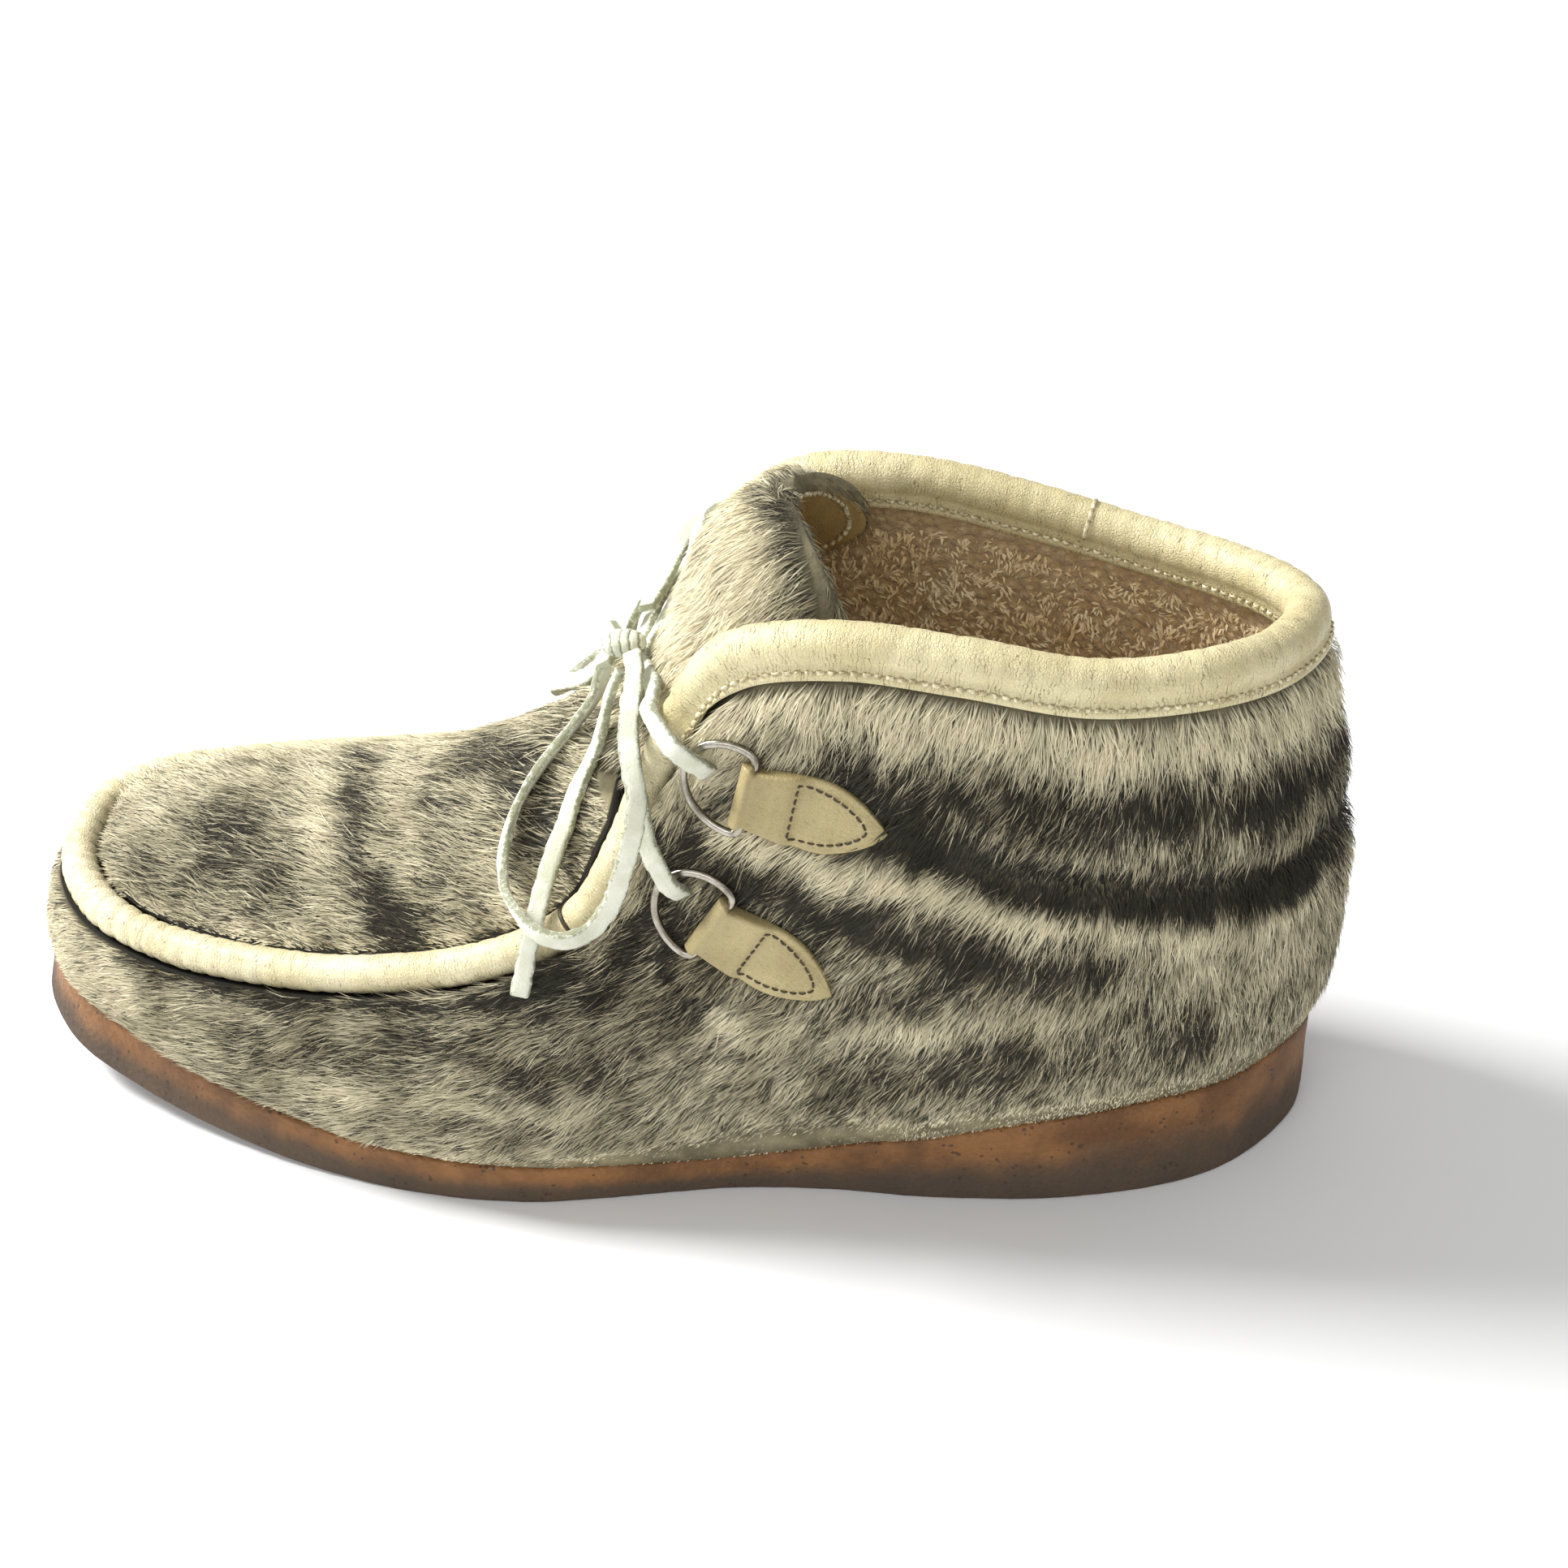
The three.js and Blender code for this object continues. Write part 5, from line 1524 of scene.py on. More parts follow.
def tab_leaf(name, place, node):
    """A leather tab: sleeve round the ring's bar, then a pointed leaf with a raised middle."""
    centre = TAB_LIFT + SLEEVE_RADIUS
    stations = []
    for degrees in (4, 16, 30, 45, 60, 75, 90):
        turn = math.radians(degrees)
        half = SLEEVE_RADIUS * math.sin(turn)
        along = SLEEVE_RADIUS * (1 - math.cos(turn))
        stations.append((along, SLEEVE_WIDTH / 2, centre - half, centre + half))
    for share in np.concatenate([np.linspace(0.1, 0.95, 40), [0.97, 0.985, 0.995, 1.0]]):
        wide = float(tab_wide(share))
        tail = 1 if share < 0.92 else max(0.12, wide / 0.3)
        high = TAB_LIFT + float(tab_thick(share)) * TAB_THICK
        half = max(0.35, wide * TAB_WIDTH / 2)
        stations.append((share * TAB_LENGTH, half, TAB_LIFT, high - 0.25 * (1 - tail)))
    across = np.concatenate([[-1, -0.985, -0.94], np.linspace(-0.88, 0.88, 15), [0.94, 0.985, 1]])
    soften = np.array([0.5, 0.2, 0.04] + [0.0] * 15 + [0.04, 0.2, 0.5])
    alongs, halves, lows, highs = [np.array(v)[:, None] for v in zip(*stations)]
    thick = highs - lows
    share = alongs / TAB_LENGTH
    sewn = tab_top(share, across[None, :]) - TAB_LIFT - tab_thick(share) * TAB_THICK
    sewn = sewn * (share > 0.35)
    front = place(alongs, across * halves, highs - soften * np.minimum(thick, 1.8) + sewn)
    back = place(alongs, across * halves, lows + soften * np.minimum(thick, 1.8) * 0.6)
    rough = soft_noise(front, 5, 71) * 0.14 + soft_noise(front, 1.4, 72) * 0.04
    n = unit(front - back)
    front = front + n * rough[..., None]
    rings = np.concatenate([front, back[:, ::-1]], 1)
    points_out, quads = closed_sweep(rings)
    piece = new_piece(name, points_out, quads)
    both = np.concatenate([across, across[::-1]])[None, :] * halves
    fold = np.exp(-(((alongs - 4.5) / 2.2) ** 2)) * 0.35
    fold = fold + np.exp(-(((share - 0.38) / 0.05) ** 2)) * 0.4
    edge = np.clip((np.abs(both) / halves - 0.93) / 0.07, 0, 1) * 0.5
    keep_value(piece, "along", to_ends(np.broadcast_to(alongs, both.shape) + both * 0))
    keep_value(piece, "round", to_ends(both))
    keep_value(piece, "wear_and_shade", to_ends(np.maximum(edge, fold + both * 0)))
    return finish_piece(piece, TAB_LEATHER, "tab", node)


def tab_seam(name, place):
    """Stitches round the leaf: short raised threads that dip in at each end."""
    line = [(share * TAB_LENGTH, -across * TAB_WIDTH / 2) for share, across in STITCHED_LEAF]
    other = [(along, -across) for along, across in line[::-1]]
    line = np.array(line + other + [line[0]])
    run = run_along(line)
    spots = stitch_spots(run, TAB_STITCH, (0.1, 0.3, 0.5, 0.7, 0.9))
    along = np.interp(spots, run, line[:, 0])
    across = np.interp(spots, run, line[:, 1])
    share = along / TAB_LENGTH
    base = tab_top(share, across / (tab_wide(share) * TAB_WIDTH / 2)) + 0.1
    centres = place(along, across, base + np.array([-0.25, 0.12, 0.2, 0.12, -0.25]))
    n = unit(place(along, across, base + 1) - place(along, across, base))
    ways = unit(np.gradient(centres, axis=1))
    thread_run(name, centres, ways, n, (0.26, 0.2), TAB_THREAD, "tab")


def ring_wire(name, place, node):
    """A D ring: straight bar inside the sleeve and a round bow, a little flattened by rolling."""
    above = TAB_LIFT + SLEEVE_RADIUS
    half = [
        (SLEEVE_RADIUS - along * RING_DEPTH, across * RING_WIDTH / 2, along * RING_LEAN)
        for along, across in RING_SHAPE
    ]
    spots = [place(a, c + lean, above) for a, c, lean in half]
    spots += [place(a, lean - c, above) for a, c, lean in half[1:-1][::-1]]
    spots = np.array(spots)
    centres, along, _ = evenly_spaced(closed_curve(spots), len(spots), 110, True)
    flat = unit(place(0, 0, above + 1) - place(0, 0, above))
    faces = np.broadcast_to(flat, centres.shape)
    wides = unit(np.cross(along, faces))
    angle = full_turn(16)
    squared = [np.sign(v) * np.abs(v) ** 0.8 for v in (np.cos(angle), np.sin(angle))]
    section = np.stack([RING_WIRE * 0.98 * squared[0], RING_WIRE * 0.9 * squared[1]], -1)
    points_out, quads = closed_sweep(rolled(centres, wides, faces, section), True)
    return finish_piece(new_piece(name, points_out, quads), NICKEL, "ring", node)


def tab_pieces():
    for side, where in ((-1, "outer"), (1, "inner")):
        for level, fold_x, fold_z, turn in TABS:
            place = tab_placer(fold_x, fold_z, turn, side)
            at = f"{level}_{where}"
            tab_leaf(f"tab_leaf_{at}", place, f"tab_{at}")
            tab_seam(f"tab_seam_{at}", place)
            ring_wire(f"ring_wire_{at}", place, f"ring_{at}")


tab_pieces()


# Seams of the collar and the tongue, and where the rolls' ends meet.
def collar_seam(name, facing_side):
    """Stitches that close the collar's flange, just under the roll, on one side of the wall."""
    fine = np.arange(COLLAR_START + 0.12, COLLAR_END - 0.1, 0.02)
    centre, _, out, up = roll_frame(fine)
    skin = WALL_THICK / 2 + GAP + 0.35 + FLANGE_THICK
    line = centre + out * facing_side * (skin + 0.12) - up * SEAM_DEPTH
    sewn_line(
        name, line, out * facing_side, COLLAR_STITCH, (0.14, 0.32, 0.5, 0.68, 0.86),
        (-0.3, 0.14, 0.24, 0.14, -0.3), (0.46, 0.34), "collar_binding",
    )


def tongue_whipping():
    """Whipped stitches over the tongue's cut edge, round its tip and down both sides."""
    place, facing = TONGUE_HIDE
    side_at = np.linspace(0.35, 0.985, 120)
    tip_w = np.linspace(-0.97, 0.97, 80)
    at = np.concatenate([side_at, 0 * tip_w + 0.99, side_at[::-1]])
    w = np.concatenate([0 * side_at - 0.985, tip_w, 0 * side_at + 0.985])
    n = facing(at, w)
    line = place(at, w) - n * TONGUE_THICK * 0.55
    sewn_line(
        "tongue_whipping", line, n, TONGUE_STITCH, (0.2, 0.36, 0.5, 0.64, 0.8),
        (0.2, -0.2, -0.3, -0.2, 0.2), (0.55, 0.4), "tongue",
    )


def joined_ends(name, row, radius, first, last, material, slot):
    """The line across a roll where its two ends meet, from one angle round it to another."""
    centre, _, out, up = roll_frame(np.full(30, float(row)))
    angle = np.radians(np.linspace(first, last, 30))[:, None]
    away = out * np.cos(angle) + up * np.sin(angle)
    spots = centre + away * radius
    ways = unit(np.gradient(spots, axis=0))
    thread_run(name, [spots], [ways], [away], (0.5, 0.3), material, slot)


tongue_whipping()
joined_ends("piping_join", PIPING_JOIN_ROW, PIPING_RADIUS * 0.97, -70, 150, TAB_THREAD, "apron_piping")
joined_ends("collar_join", COLLAR_JOIN_ROW, COLLAR_RADIUS * 0.98, -20, 200, COLLAR_THREAD, "collar_binding")
collar_seam("collar_seam_outside", 1)
collar_seam("collar_seam_inside", -1)


# Fur markings, and one band of painted shadow under the piping. Bands follow places on the skin, each with
# a spread and how dark (or pale) it is.
# Wall places are a row and a share of the way up, given for the outer side and mirrored within.
WALL_BANDS = [
    ([(5.0, 0.86), (4.4, 0.83), (3.6, 0.83), (2.7, 0.83), (1.7, 0.79), (1.1, 0.8), (0, 0.8)], 0.055, 0.5),
    ([(5.0, 0.77), (4.2, 0.73), (3.7, 0.69), (3.2, 0.655), (2.6, 0.62), (2.2, 0.59), (1.7, 0.56),
      (0.8, 0.58), (0, 0.6)], 0.052, 1.7),
    ([(6.4, 0.84), (6.2, 0.8), (5.6, 0.7), (5.2, 0.68), (4.2, 0.63), (3.7, 0.6), (2.7, 0.545),
      (1.9, 0.49), (0.8, 0.5)], 0.024, -1.0),
    ([(6.0, 0.66), (5.2, 0.62), (4.5, 0.57), (4.0, 0.53), (3.4, 0.48), (2.8, 0.46)], 0.045, 0.85),
    ([(5.0, 0.36), (4.7, 0.38), (4.2, 0.43), (3.6, 0.48)], 0.04, 0.6),
    ([(5.0, 0.3), (4.2, 0.345), (3.5, 0.36), (2.9, 0.38)], 0.03, -0.7),
    ([(5.0, 0.2), (3.9, 0.24), (3.0, 0.25), (2.0, 0.25)], 0.085, 0.55),
    ([(2.4, 0.42), (1.6, 0.4), (0.8, 0.36), (0, 0.34)], 0.09, -0.35),
    ([(11.6, 0.78), (10.8, 0.73), (10.0, 0.58), (8.5, 0.43), (7.6, 0.38)], 0.085, 0.6),
    ([(13.2, 0.66), (12.6, 0.65), (11.9, 0.68), (11.2, 0.62)], 0.1, 0.5),
    # Painted shadow just under the piping, toward the toe.
    ([(14.2, 0.98), (12.7, 0.97), (11.8, 0.95), (10.8, 0.91), (9.6, 0.94)], 0.04, 1.0),
    ([(6.4, 0.4), (5.9, 0.35), (5.4, 0.32), (4.9, 0.37)], 0.03, -1.1),
    ([(12.2, 0.45), (11.0, 0.42), (9.8, 0.36), (8.6, 0.28)], 0.05, -0.5),
    ([(7.2, 0.97), (6.0, 0.95), (3.9, 0.96), (1.2, 0.93), (0, 0.93)], 0.055, -0.8),
]
# Patches of the wall: row, share, spread in rows, spread in share, how dark.
WALL_PATCHES = [
    (1.75, 0.77, 0.5, 0.05, 0.6),
    (10.0, 0.9, 0.5, 0.07, 0.8),
    (8.7, 0.72, 0.7, 0.13, 1.1),
    (9.7, 0.84, 0.5, 0.1, 0.7),
    (7.7, 0.72, 0.5, 0.09, 0.8),
    (6.8, 0.46, 0.7, 0.07, 0.8),
    (7.0, 0.6, 0.35, 0.06, 0.9),
    (7.2, 0.92, 0.3, 0.06, 0.8),
    (6.5, 0.79, 0.4, 0.05, 0.8),
    (6.2, 0.6, 0.3, 0.05, 0.6),
    (11.0, 0.33, 0.35, 0.04, 0.6),
    (10.2, 0.25, 0.45, 0.04, 0.6),
    (5.2, 0.48, 0.5, 0.06, 0.35),
    (15.5, 0.5, 2.6, 0.8, -0.5),
]
# Patches of the apron: the way along it, across it, spreads, how dark.
APRON_PATCHES = [
    (0.19, -0.55, 0.06, 0.28, 0.7),
    (0.1, -0.3, 0.05, 0.3, 0.4),
    (0.3, -0.78, 0.07, 0.16, 0.6),
    (0.34, -0.25, 0.06, 0.22, 0.6),
    (0.4, -0.5, 0.07, 0.3, 0.95),
    (0.47, -0.72, 0.05, 0.18, 0.8),
    (0.4, 0.1, 0.03, 0.35, 0.4),
    (0.6, -0.86, 0.07, 0.1, 0.6),
    (0.66, -0.3, 0.035, 0.26, 0.7),
    (0.71, -0.1, 0.05, 0.3, 0.9),
    (0.8, -0.3, 0.07, 0.3, 1.0),
    (0.85, -0.72, 0.08, 0.25, 1.0),
    (0.67, -0.62, 0.04, 0.16, 0.8),
    (0.92, 0.2, 0.1, 0.5, 0.5),
    (0.76, 0.75, 0.05, 0.2, 0.5),
    (0.3, 0.6, 0.05, 0.2, 0.3),
    (0.625, -0.4, 0.02, 0.4, -0.5),
    (0.495, -0.3, 0.018, 0.5, -0.7),
]
# The dark bar over the apron: how far along it lies at places across.
APRON_BAR = [(-1.0, 0.605), (-0.8, 0.59), (-0.45, 0.555), (-0.1, 0.525), (0.4, 0.49), (0.75, 0.465)]


def wall_darkness(row, share, p):
    """How dark the wall's fur is, about 0 for cream and 1 for charcoal: its markings, and a band of painted
    shadow under the piping.
    """
    across = np.minimum(np.mod(row, ROWS), ROWS - np.mod(row, ROWS))
    inner = np.mod(row, ROWS) > TOE_ROW
    warp = soft_noise(p, 11, 101)
    share = share + warp * 0.018 + soft_noise(p, 5, 102) * 0.014
    across = across + soft_noise(p, 14, 103) * 0.22 + inner * soft_noise(p, 30, 104) * 0.8
    dark = 0.36 + 0.24 * soft_noise(p, 9, 105) + 0.2 * soft_noise(p * (1, 1, 1.5), 4, 106)
    tufts = 0.34 * soft_noise(p * (1, 1, 0.45), 2.0, 107)
    for places, spread, amount in WALL_BANDS:
        rows, shares = np.array(sorted(places)).T
        middle = np.interp(across, rows, shares)
        ends = eased((across - rows[0]) / 0.4 + (1.0 if rows[0] <= 0 else 0.3))
        ends = ends * eased((rows[-1] - across) / 0.4 + 0.3)
        dark = dark + amount * ends * np.exp(-(((share - middle) / spread) ** 2))
    for at, height, wide, tall, amount in WALL_PATCHES:
        gap = ((across - at) / wide) ** 2 + ((share - height) / tall) ** 2
        dark = dark + amount * np.exp(-gap)
    calm = 0.55 + 0.45 * eased((share - 0.44) / 0.14) * eased((8.4 - across) / 1.2)
    dark = 0.28 + (dark - 0.28) * calm
    return dark + tufts * calm - 1.3 * eased((0.085 - share) / 0.06)


def apron_darkness(at, w, p):
    at = at + soft_noise(p, 10, 111) * 0.014
    w = w + soft_noise(p, 8, 112) * 0.06
    dark = 0.12 + 0.14 * soft_noise(p, 8, 113) + 0.16 * soft_noise(p * (0.6, 1.6, 1), 4, 114)
    dark = dark + 0.2 * soft_noise(p * (0.5, 1.3, 1), 1.9, 115)
    places, middles = np.array(APRON_BAR).T
    bar = np.exp(-(((at - np.interp(w, places, middles)) / 0.024) ** 2)) * eased((0.9 - w) / 0.4)
    dark = dark + 0.62 * bar
    for along, across, long, wide, amount in APRON_PATCHES:
        gap = ((at - along) / long) ** 2 + ((w - across) / wide) ** 2
        dark = dark + 0.5 * amount * np.exp(-gap)
    return dark - 0.25 * eased((w - 0.2) / 0.4)


def tongue_darkness(at, w, p):
    dark = -0.22 + 0.3 * soft_noise(p, 7, 121) + 0.26 * soft_noise(p, 3, 122)
    fringe = eased((at - 0.86) / 0.1) + eased((-w - 0.88) / 0.1) * eased((at - 0.35) / 0.2)
    return dark + 0.62 * np.clip(fringe, 0, 1) + 0.6 * eased((0.3 - at) / 0.25) * eased((-w - 0.2) / 0.4)


def scatter(places, values, count, seed, thickness=None):
    """Random spots over a grid of places, even by area: their rows, and the values there."""
    corner = places[:-1, :-1]
    area = length_of(np.cross(places[1:, :-1] - corner, places[:-1, 1:] - corner))
    if thickness is not None:
        area = area * thickness[:-1, :-1]
    run = np.cumsum(area.ravel())
    random = np.random.default_rng(seed)
    pick = np.minimum(np.searchsorted(run, random.random(count) * run[-1]), area.size - 1)
    i, k = np.divmod(pick, area.shape[1])
    along, across = random.random((2, count))

    read = [read_grid(grid, i, k, along, across) for grid in (places, *values)]
    return i + along, read, random


# A hair is a blade of five points: two at its root, two at its bend and one at its tip. Hairs bake
# into the cells of one sheet, several side by side in a cell.
HAIR_POINTS = 5
BAKE_COLUMNS = 96
BAKE_ROWS = 48
BAKE_PLACES = 6


def hair_strands(name, roots, normals, lay, lengths, lifts, widths, shades, tones, cells, material,
                 slot, random):
    """Joined hairs. Each leaves the skin at its lift, bends over to its lay, and tapers away."""
    count = len(roots)
    n = normals
    lay = unit(lay - n * dot(lay, n)[:, None])
    turn = random.normal(0, 0.16, count) + soft_noise(roots, 2.6, 7) * 0.42
    side = np.cross(n, lay)
    lay = unit(lay * np.cos(turn)[:, None] + side * np.sin(turn)[:, None])
    roll = random.uniform(-0.75, 0.75, count)
    side = np.cross(n, lay)
    flat = side * np.cos(roll)[:, None] + n * np.sin(roll)[:, None]
    first = lifts * random.uniform(0.75, 1.3, count)
    second = first * random.uniform(0.1, 0.55, count)
    bend = [lay * np.cos(a)[:, None] + n * np.sin(a)[:, None] for a in (first, second)]
    half = (lengths / 2)[:, None]
    base = roots - n * 0.35
    middle = base + bend[0] * half
    tip = middle + bend[1] * half
    wide = (widths / 2)[:, None] * flat
    spots = np.stack([base - wide, base + wide, middle - wide * 0.8, middle + wide * 0.8, tip], 1)
    index = np.arange(count)[:, None] * HAIR_POINTS
    quads = index + np.array([0, 1, 3, 2])
    triangles = index + np.array([2, 3, 4])
    piece = new_piece(name, spots.reshape(-1, 3), quads, triangles)
    keep_value(piece, "tip", np.broadcast_to([0, 0, 0.5, 0.5, 1.0], (count, HAIR_POINTS)))
    keep_value(piece, "shade", np.repeat(shades, HAIR_POINTS))
    keep_value(piece, "tone", np.repeat(tones, HAIR_POINTS))
    places = (random.integers(0, BAKE_PLACES, count) + 0.5) / BAKE_PLACES
    column_at = np.floor(cells[0] * BAKE_COLUMNS) + places
    row_at = np.floor(cells[1] * BAKE_ROWS)
    sides = np.array([-1, 1, -1, 1, 0]) * 0.35 / BAKE_PLACES / BAKE_COLUMNS
    u = (column_at / BAKE_COLUMNS)[:, None] + sides
    v = (row_at[:, None] + np.array([0.08, 0.08, 0.5, 0.5, 0.92])) / BAKE_ROWS
    corners = np.zeros(len(piece.data.loops), np.int32)
    piece.data.loops.foreach_get("vertex_index", corners)
    pairs = np.stack([u.ravel()[corners], v.ravel()[corners]], -1)
    layer = piece.data.uv_layers.new(name="OFBake")
    layer.data.foreach_set("uv", pairs.astype(np.float32).ravel())
    return finish_piece(piece, material, slot)


# How many hairs each piece has.
WALL_HAIRS = {"outer_heel": 56000, "outer_toe": 46000, "inner_toe": 30000, "inner_heel": 33000}
APRON_HAIRS = 42000
TONGUE_HAIRS = 20000
FRINGE_HAIRS = 5200
WOOL_CURLS = 26000


def pressed_down(lengths, lifts, pressed, shorter):
    """Lengths and lifts of hair that a lace or a ring presses down."""
    return lengths * (1 - shorter * pressed), lifts * (1 - 0.7 * pressed)


def hide_front(hide, thick, at, w):
    """Places and normals on the front of a bent hide, over a grid of ways along and across it."""
    place, facing = hide
    at = at[:, None] + 0 * w
    w = w[None, :] + 0 * at
    normals = facing(at, w)
    return place(at, w) + normals * thick / 2, [normals, at, w]


def hair_shades(dark, random):
    """Which hairs are dark: more of them where the skin is darker, with a few in between."""
    return np.clip((dark + random.normal(0, 0.3, len(dark)) - 0.32) / 0.3, 0, 1) * 0.94


def hair_tones(dark, roots, random):
    """0 for cream hair where the skin is pale, 1 for grey hair elsewhere."""
    wander = 0.3 * soft_noise(roots, 7, 9) + random.normal(0, 0.16, len(roots))
    return np.clip(0.42 + 0.7 * np.clip(dark, -0.7, 0.5) + wander, 0, 1)


# Places that press the wall's hair down or keep it away.
def tab_places():
    spots = []
    for side in (-1, 1):
        for _, fold_x, fold_z, turn in TABS:
            place = tab_placer(fold_x, fold_z, turn, side)
            origin = place(0, 0, 0)
            down = unit(place(SLEEVE_WIDTH / 2, 0, 0) - origin)
            across = unit(place(0, 1, 0) - origin)
            spots.append((origin, down, across, unit(place(0, 0, 1) - origin)))
    return spots


TAB_PLACES = tab_places()


def tab_cover(points):
    """How far points lie inside a tab's outline, in millimetres (negative outside), and in a ring."""
    inside = np.full(len(points), -99.0)
    ringed = np.zeros(len(points))
    for origin, down, across, n in TAB_PLACES:
        away = points - origin
        near = np.abs(dot(away, n)) < 9
        along = dot(away, down)
        wide = dot(away, across)
        half = tab_wide(np.clip(along / TAB_LENGTH, 0.09, 1)) * TAB_WIDTH / 2
        depth = np.minimum(np.minimum(along, TAB_LENGTH - along), half - np.abs(wide))
        inside = np.where(near, np.maximum(inside, depth), inside)
        bow = ((along + 4.5) / 8.5) ** 2 + (wide / 11.5) ** 2
        ringed = np.where(near & (bow < 1), 1.0, ringed)
    return inside, ringed


def lace_route_points():
    routes = []
    for side in (-1, 1):
        routes += [(lace_points(LOOP, side), 60), (lace_points(END, side), 30)]
    routes += [(whole_bar(rows), 60) for rows in (LOWER_BAR, UPPER_BAR)]
    return np.vstack(
        [evenly_spaced(open_curve(line), len(line) - 1, steps)[0] for line, steps in routes]
    )


LACE_ROUTE = lace_route_points()
LACE_REACH = 7.0


def under_lace(points):
    """1 right under a lace, falling to 0 at the reach. Only hair near the laces is compared."""
    nearest = np.full(len(points), 1e9)
    batch = 20000
    for first in range(0, len(points), batch):
        part = points[first : first + batch]
        box = (part[:, 0] < 30) & (part[:, 0] > -45)
        gaps = part[box][:, None, :] - LACE_ROUTE[None, :, :]
        values = np.full(len(part), 1e9)
        if box.any():
            values[box] = np.sqrt((gaps * gaps).sum(-1).min(1))
        nearest[first : first + batch] = values
    return eased((LACE_REACH - nearest) / LACE_REACH)


def wall_lay(points, share):
    """The way hair lies on the wall: down at the heel, turning to the toe along the boot."""
    x = points[:, 0]
    places = (-150, -110, -60, -10, 30, 70, 100, 140)
    turns = np.radians((70, 84, 82, 62, 46, 30, 16, 6))
    turn = np.interp(x, places, turns)
    turn = turn * (1 - 0.6 * eased((share - 0.82) / 0.1) * eased((x + 20) / 30))
    turn = turn + soft_noise(points, 22, 131) * 0.22 + soft_noise(points, 9, 132) * 0.16
    return point(-np.sin(turn), 0, -np.cos(turn))


def wall_fur():
    """Seal fur over the whole wall, in four pieces round the boot."""
    rows = np.arange(0, ROWS + 0.001, WALL_STEP)[:, None]
    rim = rim_share(rows)
    shares = np.linspace(0.004, 0.985, 31)[None, :] * rim
    places = wall_point(rows, shares, WALL_THICK / 2)
    normals = wall_normal(rows, shares)
    places = places + normals * wall_rumple(rows, shares / rim, places)[..., None]
    share_grid = np.broadcast_to(shares / rim, places.shape[:2]).copy()
    quarters = (("outer_heel", 0, 6.2), ("outer_toe", 6.2, 16.5), ("inner_toe", 16.5, 26.2),
                ("inner_heel", 26.2, ROWS))
    for seed, (where, start, end) in enumerate(quarters):
        first = int(round(start / WALL_STEP))
        last = int(round(end / WALL_STEP))
        part = slice(first, last + 1)
        i, (roots, n, share), random = scatter(
            places[part], [normals[part], share_grid[part]], WALL_HAIRS[where], 200 + seed
        )
        row = (i + first) * WALL_STEP
        dark = wall_darkness(row, share, roots)
        inside, ringed = tab_cover(roots)
        lay = wall_lay(roots, share)
        lengths = np.interp(share, (0, 0.05, 0.1, 0.16, 0.8, 1), (1.1, 1.8, 3.6, 6.2, 7.2, 7.0))
        lengths = lengths * random.uniform(0.72, 1.2, len(roots))
        lengths = lengths * (1 - 0.4 * eased((-roots[:, 0] - 95) / 40))
        lifts = np.radians(np.interp(share, (0, 0.1, 0.5, 0.93, 1), (12, 22, 30, 32, 46)))
        lifts = lifts * (1 + 0.35 * soft_noise(roots, 12, 140 + seed))
        pressed = np.maximum(under_lace(roots) * 0.8, ringed * 0.55)
        lengths, lifts = pressed_down(lengths, lifts, pressed, 0.45)
        reach, _ = tab_cover(roots + unit(lay) * (lengths * 0.85)[:, None])
        lengths = np.where((reach > 1.2) & (inside <= 0.4), lengths * 0.5, lengths)
        keep = inside <= 0.3
        widths = random.uniform(0.22, 0.36, len(roots)) * (1 - 0.35 * eased((0.1 - share) / 0.08))
        hair_strands(
            f"wall_fur_{where}", roots[keep], n[keep], lay[keep], lengths[keep], lifts[keep],
            widths[keep], hair_shades(dark, random)[keep],
            hair_tones(dark, roots, random)[keep],
            ((row[keep] - start) / (end - start + 1e-6), share[keep] * 0.999), FUR, "upper", random,
        )


def apron_fur():
    grid = hide_front(APRON, APRON_THICK, np.linspace(0.0, 1, 81), np.linspace(-0.99, 0.99, 61))
    _, (roots, n, along, across), random = scatter(*grid, APRON_HAIRS, 301)
    dark = apron_darkness(along, across, roots)
    lean = np.radians(np.interp(across, (-1, -0.6, 0, 0.6, 1), (24, 20, 14, 30, 52)))
    lean = lean + soft_noise(roots, 14, 151) * 0.2
    lay = point(-np.cos(lean), np.sin(lean), 0)
    lengths = np.interp(across, (-1, -0.94, -0.8, -0.6, 0.8, 1), (2.2, 3.6, 7.4, 9.0, 9.5, 9.5))
    lengths = lengths * np.interp(along, (0, 0.1, 0.2), (0.45, 0.75, 1.0))
    lengths = lengths * random.uniform(0.75, 1.2, len(roots))
    lifts = np.radians(np.interp(across, (-1, -0.7, 0.5, 1), (22, 24, 26, 44)))
    lengths, lifts = pressed_down(lengths, lifts, under_lace(roots) * 0.8, 0.4)
    widths = random.uniform(0.24, 0.38, len(roots))
    tones = hair_tones(dark, roots, random)
    hair_strands(
        "apron_fur", roots, n, lay, lengths, lifts, widths, hair_shades(dark, random), tones,
        (along * 0.999, (across + 1) / 2), FUR, "apron", random,
    )


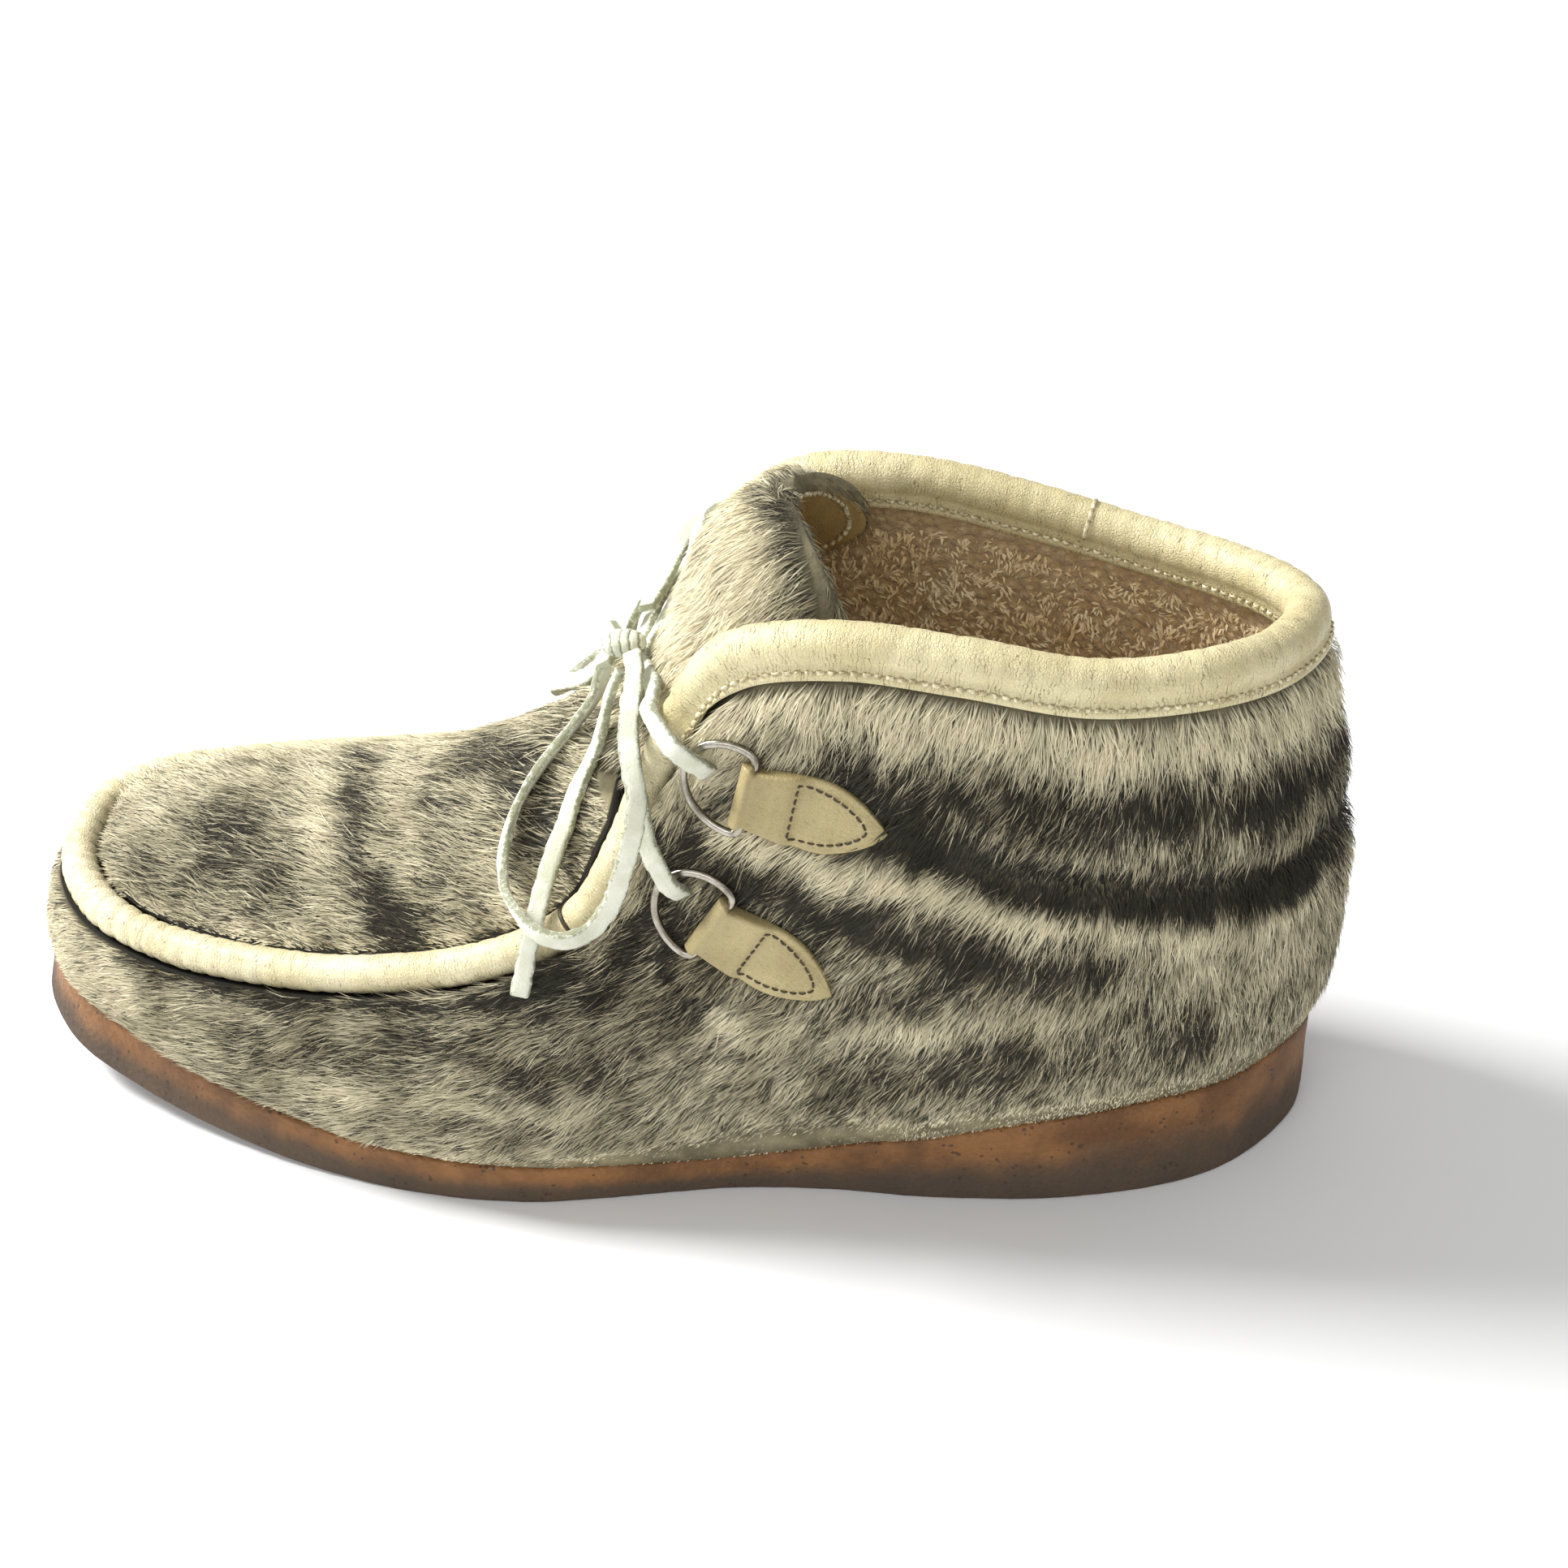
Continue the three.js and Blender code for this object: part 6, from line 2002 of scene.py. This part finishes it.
def tongue_fur():
    ways = (np.linspace(0.06, 0.995, 61), np.linspace(-0.985, 0.985, 51))
    grid = hide_front(TONGUE_HIDE, TONGUE_THICK, *ways)
    _, (roots, n, along, across), random = scatter(*grid, TONGUE_HAIRS, 311)
    dark = tongue_darkness(along, across, roots)
    lay = point(-0.62 - 0.2 * soft_noise(roots, 9, 161), 0.35 * soft_noise(roots, 12, 162), -0.8)
    lengths = np.interp(along, (0, 0.8, 1), (8.5, 8.5, 6.5)) * random.uniform(0.7, 1.2, len(roots))
    lifts = np.radians(np.interp(along, (0, 0.8, 1), (26, 30, 48)))
    lengths, lifts = pressed_down(lengths, lifts, under_lace(roots) * 0.85, 0.45)
    widths = random.uniform(0.24, 0.38, len(roots))
    tones = hair_tones(dark, roots, random) * 0.8
    hair_strands(
        "tongue_fur", roots, n, lay, lengths, lifts, widths, hair_shades(dark, random), tones,
        (along * 0.999, (across + 1) / 2), FUR, "tongue", random,
    )


def lining_wool():
    """Curled wool of the lining, standing off the inner face of the wall."""
    rows = np.arange(0, ROWS + 0.001, 0.2)[:, None]
    rim = rim_share(rows)
    shares = np.linspace(0.05, 0.95, 25)[None, :] * rim
    places = wall_point(rows, shares, -WALL_THICK / 2)
    normals = -wall_normal(rows, shares)
    heel = eased((places[..., 0] + 20) / 60) * 0.9 + 0.1
    _, (roots, n), random = scatter(places, [normals], WOOL_CURLS, 401, heel)
    swirl = point(*[soft_noise(roots, 2.4, seed) for seed in (171, 172, 173)])
    lay = swirl + point(0.1, 0, -0.35) + random.normal(0, 0.15, roots.shape)
    lengths = random.uniform(1.6, 2.8, len(roots))
    lifts = np.radians(30 + 20 * soft_noise(roots, 3, 174))
    widths = random.uniform(0.5, 0.85, len(roots))
    tones = np.clip(0.5 + 0.6 * soft_noise(roots, 6, 175) + random.normal(0, 0.15, len(roots)), 0, 1)
    shades = np.clip(0.1 + 0.6 * soft_noise(roots, 3.2, 176), 0, 1) * 0.3
    cells = ((roots[:, 0] + 150) / 300, np.clip(roots[:, 2] / 150, 0, 0.999))
    hair_strands(
        "lining_wool", roots, n, lay, lengths, lifts, widths, shades, tones, cells, WOOL, "upper",
        random,
    )


def tongue_fringe():
    """Darker guard hair that stands off the tongue's tip and its two long edges."""
    place, facing = TONGUE_HIDE
    random = np.random.default_rng(321)
    count = FRINGE_HAIRS
    pick = random.random(count)
    tip = pick < 0.45
    at = np.where(tip, 1.0, random.uniform(0.2, 1.0, count))
    w = np.where(tip, random.uniform(-1, 1, count), np.where(pick < 0.8, -1.0, 1.0))
    roots = place(at, w)
    n = facing(at, w)
    within = np.where(tip[:, None], place(at - 0.03, w), place(at, w * 0.9))
    out = unit(roots - within)
    roots = roots + n * random.uniform(-0.3, 0.5, count)[:, None] * TONGUE_THICK - out * 0.4
    lay = out * 0.55 + n * 0.25 + point(-0.25, 0, -0.75) + random.normal(0, 0.16, roots.shape)
    lengths = random.uniform(3.0, 5.6, count)
    lifts = np.radians(random.uniform(18, 40, count))
    widths = random.uniform(0.22, 0.34, count)
    shades = np.clip(random.normal(0.45, 0.3, count), 0, 1)
    tones = random.uniform(0.2, 1, count)
    hair_strands(
        "tongue_fringe", roots, unit(n * 0.6 + out), lay, lengths, lifts, widths, shades, tones,
        (np.clip(at, 0, 0.999), (w + 1) / 2.001), FUR, "tongue", random,
    )


skins()
wall_fur()
apron_fur()
tongue_fur()
tongue_fringe()
lining_wool()


# Floor and light. Each lamp has a name, a place, what it looks at, its width and height, and
# its power.
STUDIO_LAMPS = [
    ("key_lamp", (-1.2, 0.25, 1.25), (0, 0, 0.05), (0.55, 0.55), 46.0),
    ("fill_lamp", (-0.5, -1.7, 1.1), (0, 0, 0.06), (1.6, 1.2), 13.0),
]


def studio():
    floor_size = 3.0
    mesh = bpy.data.meshes.new("studio_floor")
    corners = [(-1, -1), (1, -1), (1, 1), (-1, 1)]
    places = [(x * floor_size, y * floor_size, 0.0) for x, y in corners]
    mesh.from_pydata(places, [], [(0, 1, 2, 3)])
    floor = bpy.data.objects.new("studio_floor", mesh)
    bpy.context.scene.collection.objects.link(floor)
    material, n, shader = start_material("studio_paper", Roughness=0.95, Specular_IOR_Level=0.1)
    clouds = placed_effect(
        n, MOTTLE, Place=here(n), Pale=(0.93, 0.93, 0.93, 1), Deep=(0.92, 0.92, 0.92, 1),
        Cloud_Size=4.0, Amount=1.0,
    )
    n.join(clouds.outputs["Colour"], shader.inputs["Base Color"])
    mesh.materials.append(material)
    world = bpy.data.worlds.new("studio_air")
    world.use_nodes = True
    world.node_tree.nodes["Background"].inputs[0].default_value = (1, 1, 1, 1)
    world.node_tree.nodes["Background"].inputs[1].default_value = 0.5
    bpy.context.scene.world = world
    for name, place, aim, size, power in STUDIO_LAMPS:
        lamp = bpy.data.lights.new(name, "AREA")
        lamp.shape = "RECTANGLE"
        lamp.size, lamp.size_y = size
        lamp.energy = power
        holder = bpy.data.objects.new(name, lamp)
        holder.location = place
        way = np.array(aim, float) - np.array(place, float)
        flat = math.hypot(way[0], way[1])
        holder.rotation_euler = (math.atan2(flat, -way[2]), 0, math.atan2(-way[0], way[1]))
        bpy.context.scene.collection.objects.link(holder)


studio()
bpy.context.scene.view_settings.view_transform = "Standard"
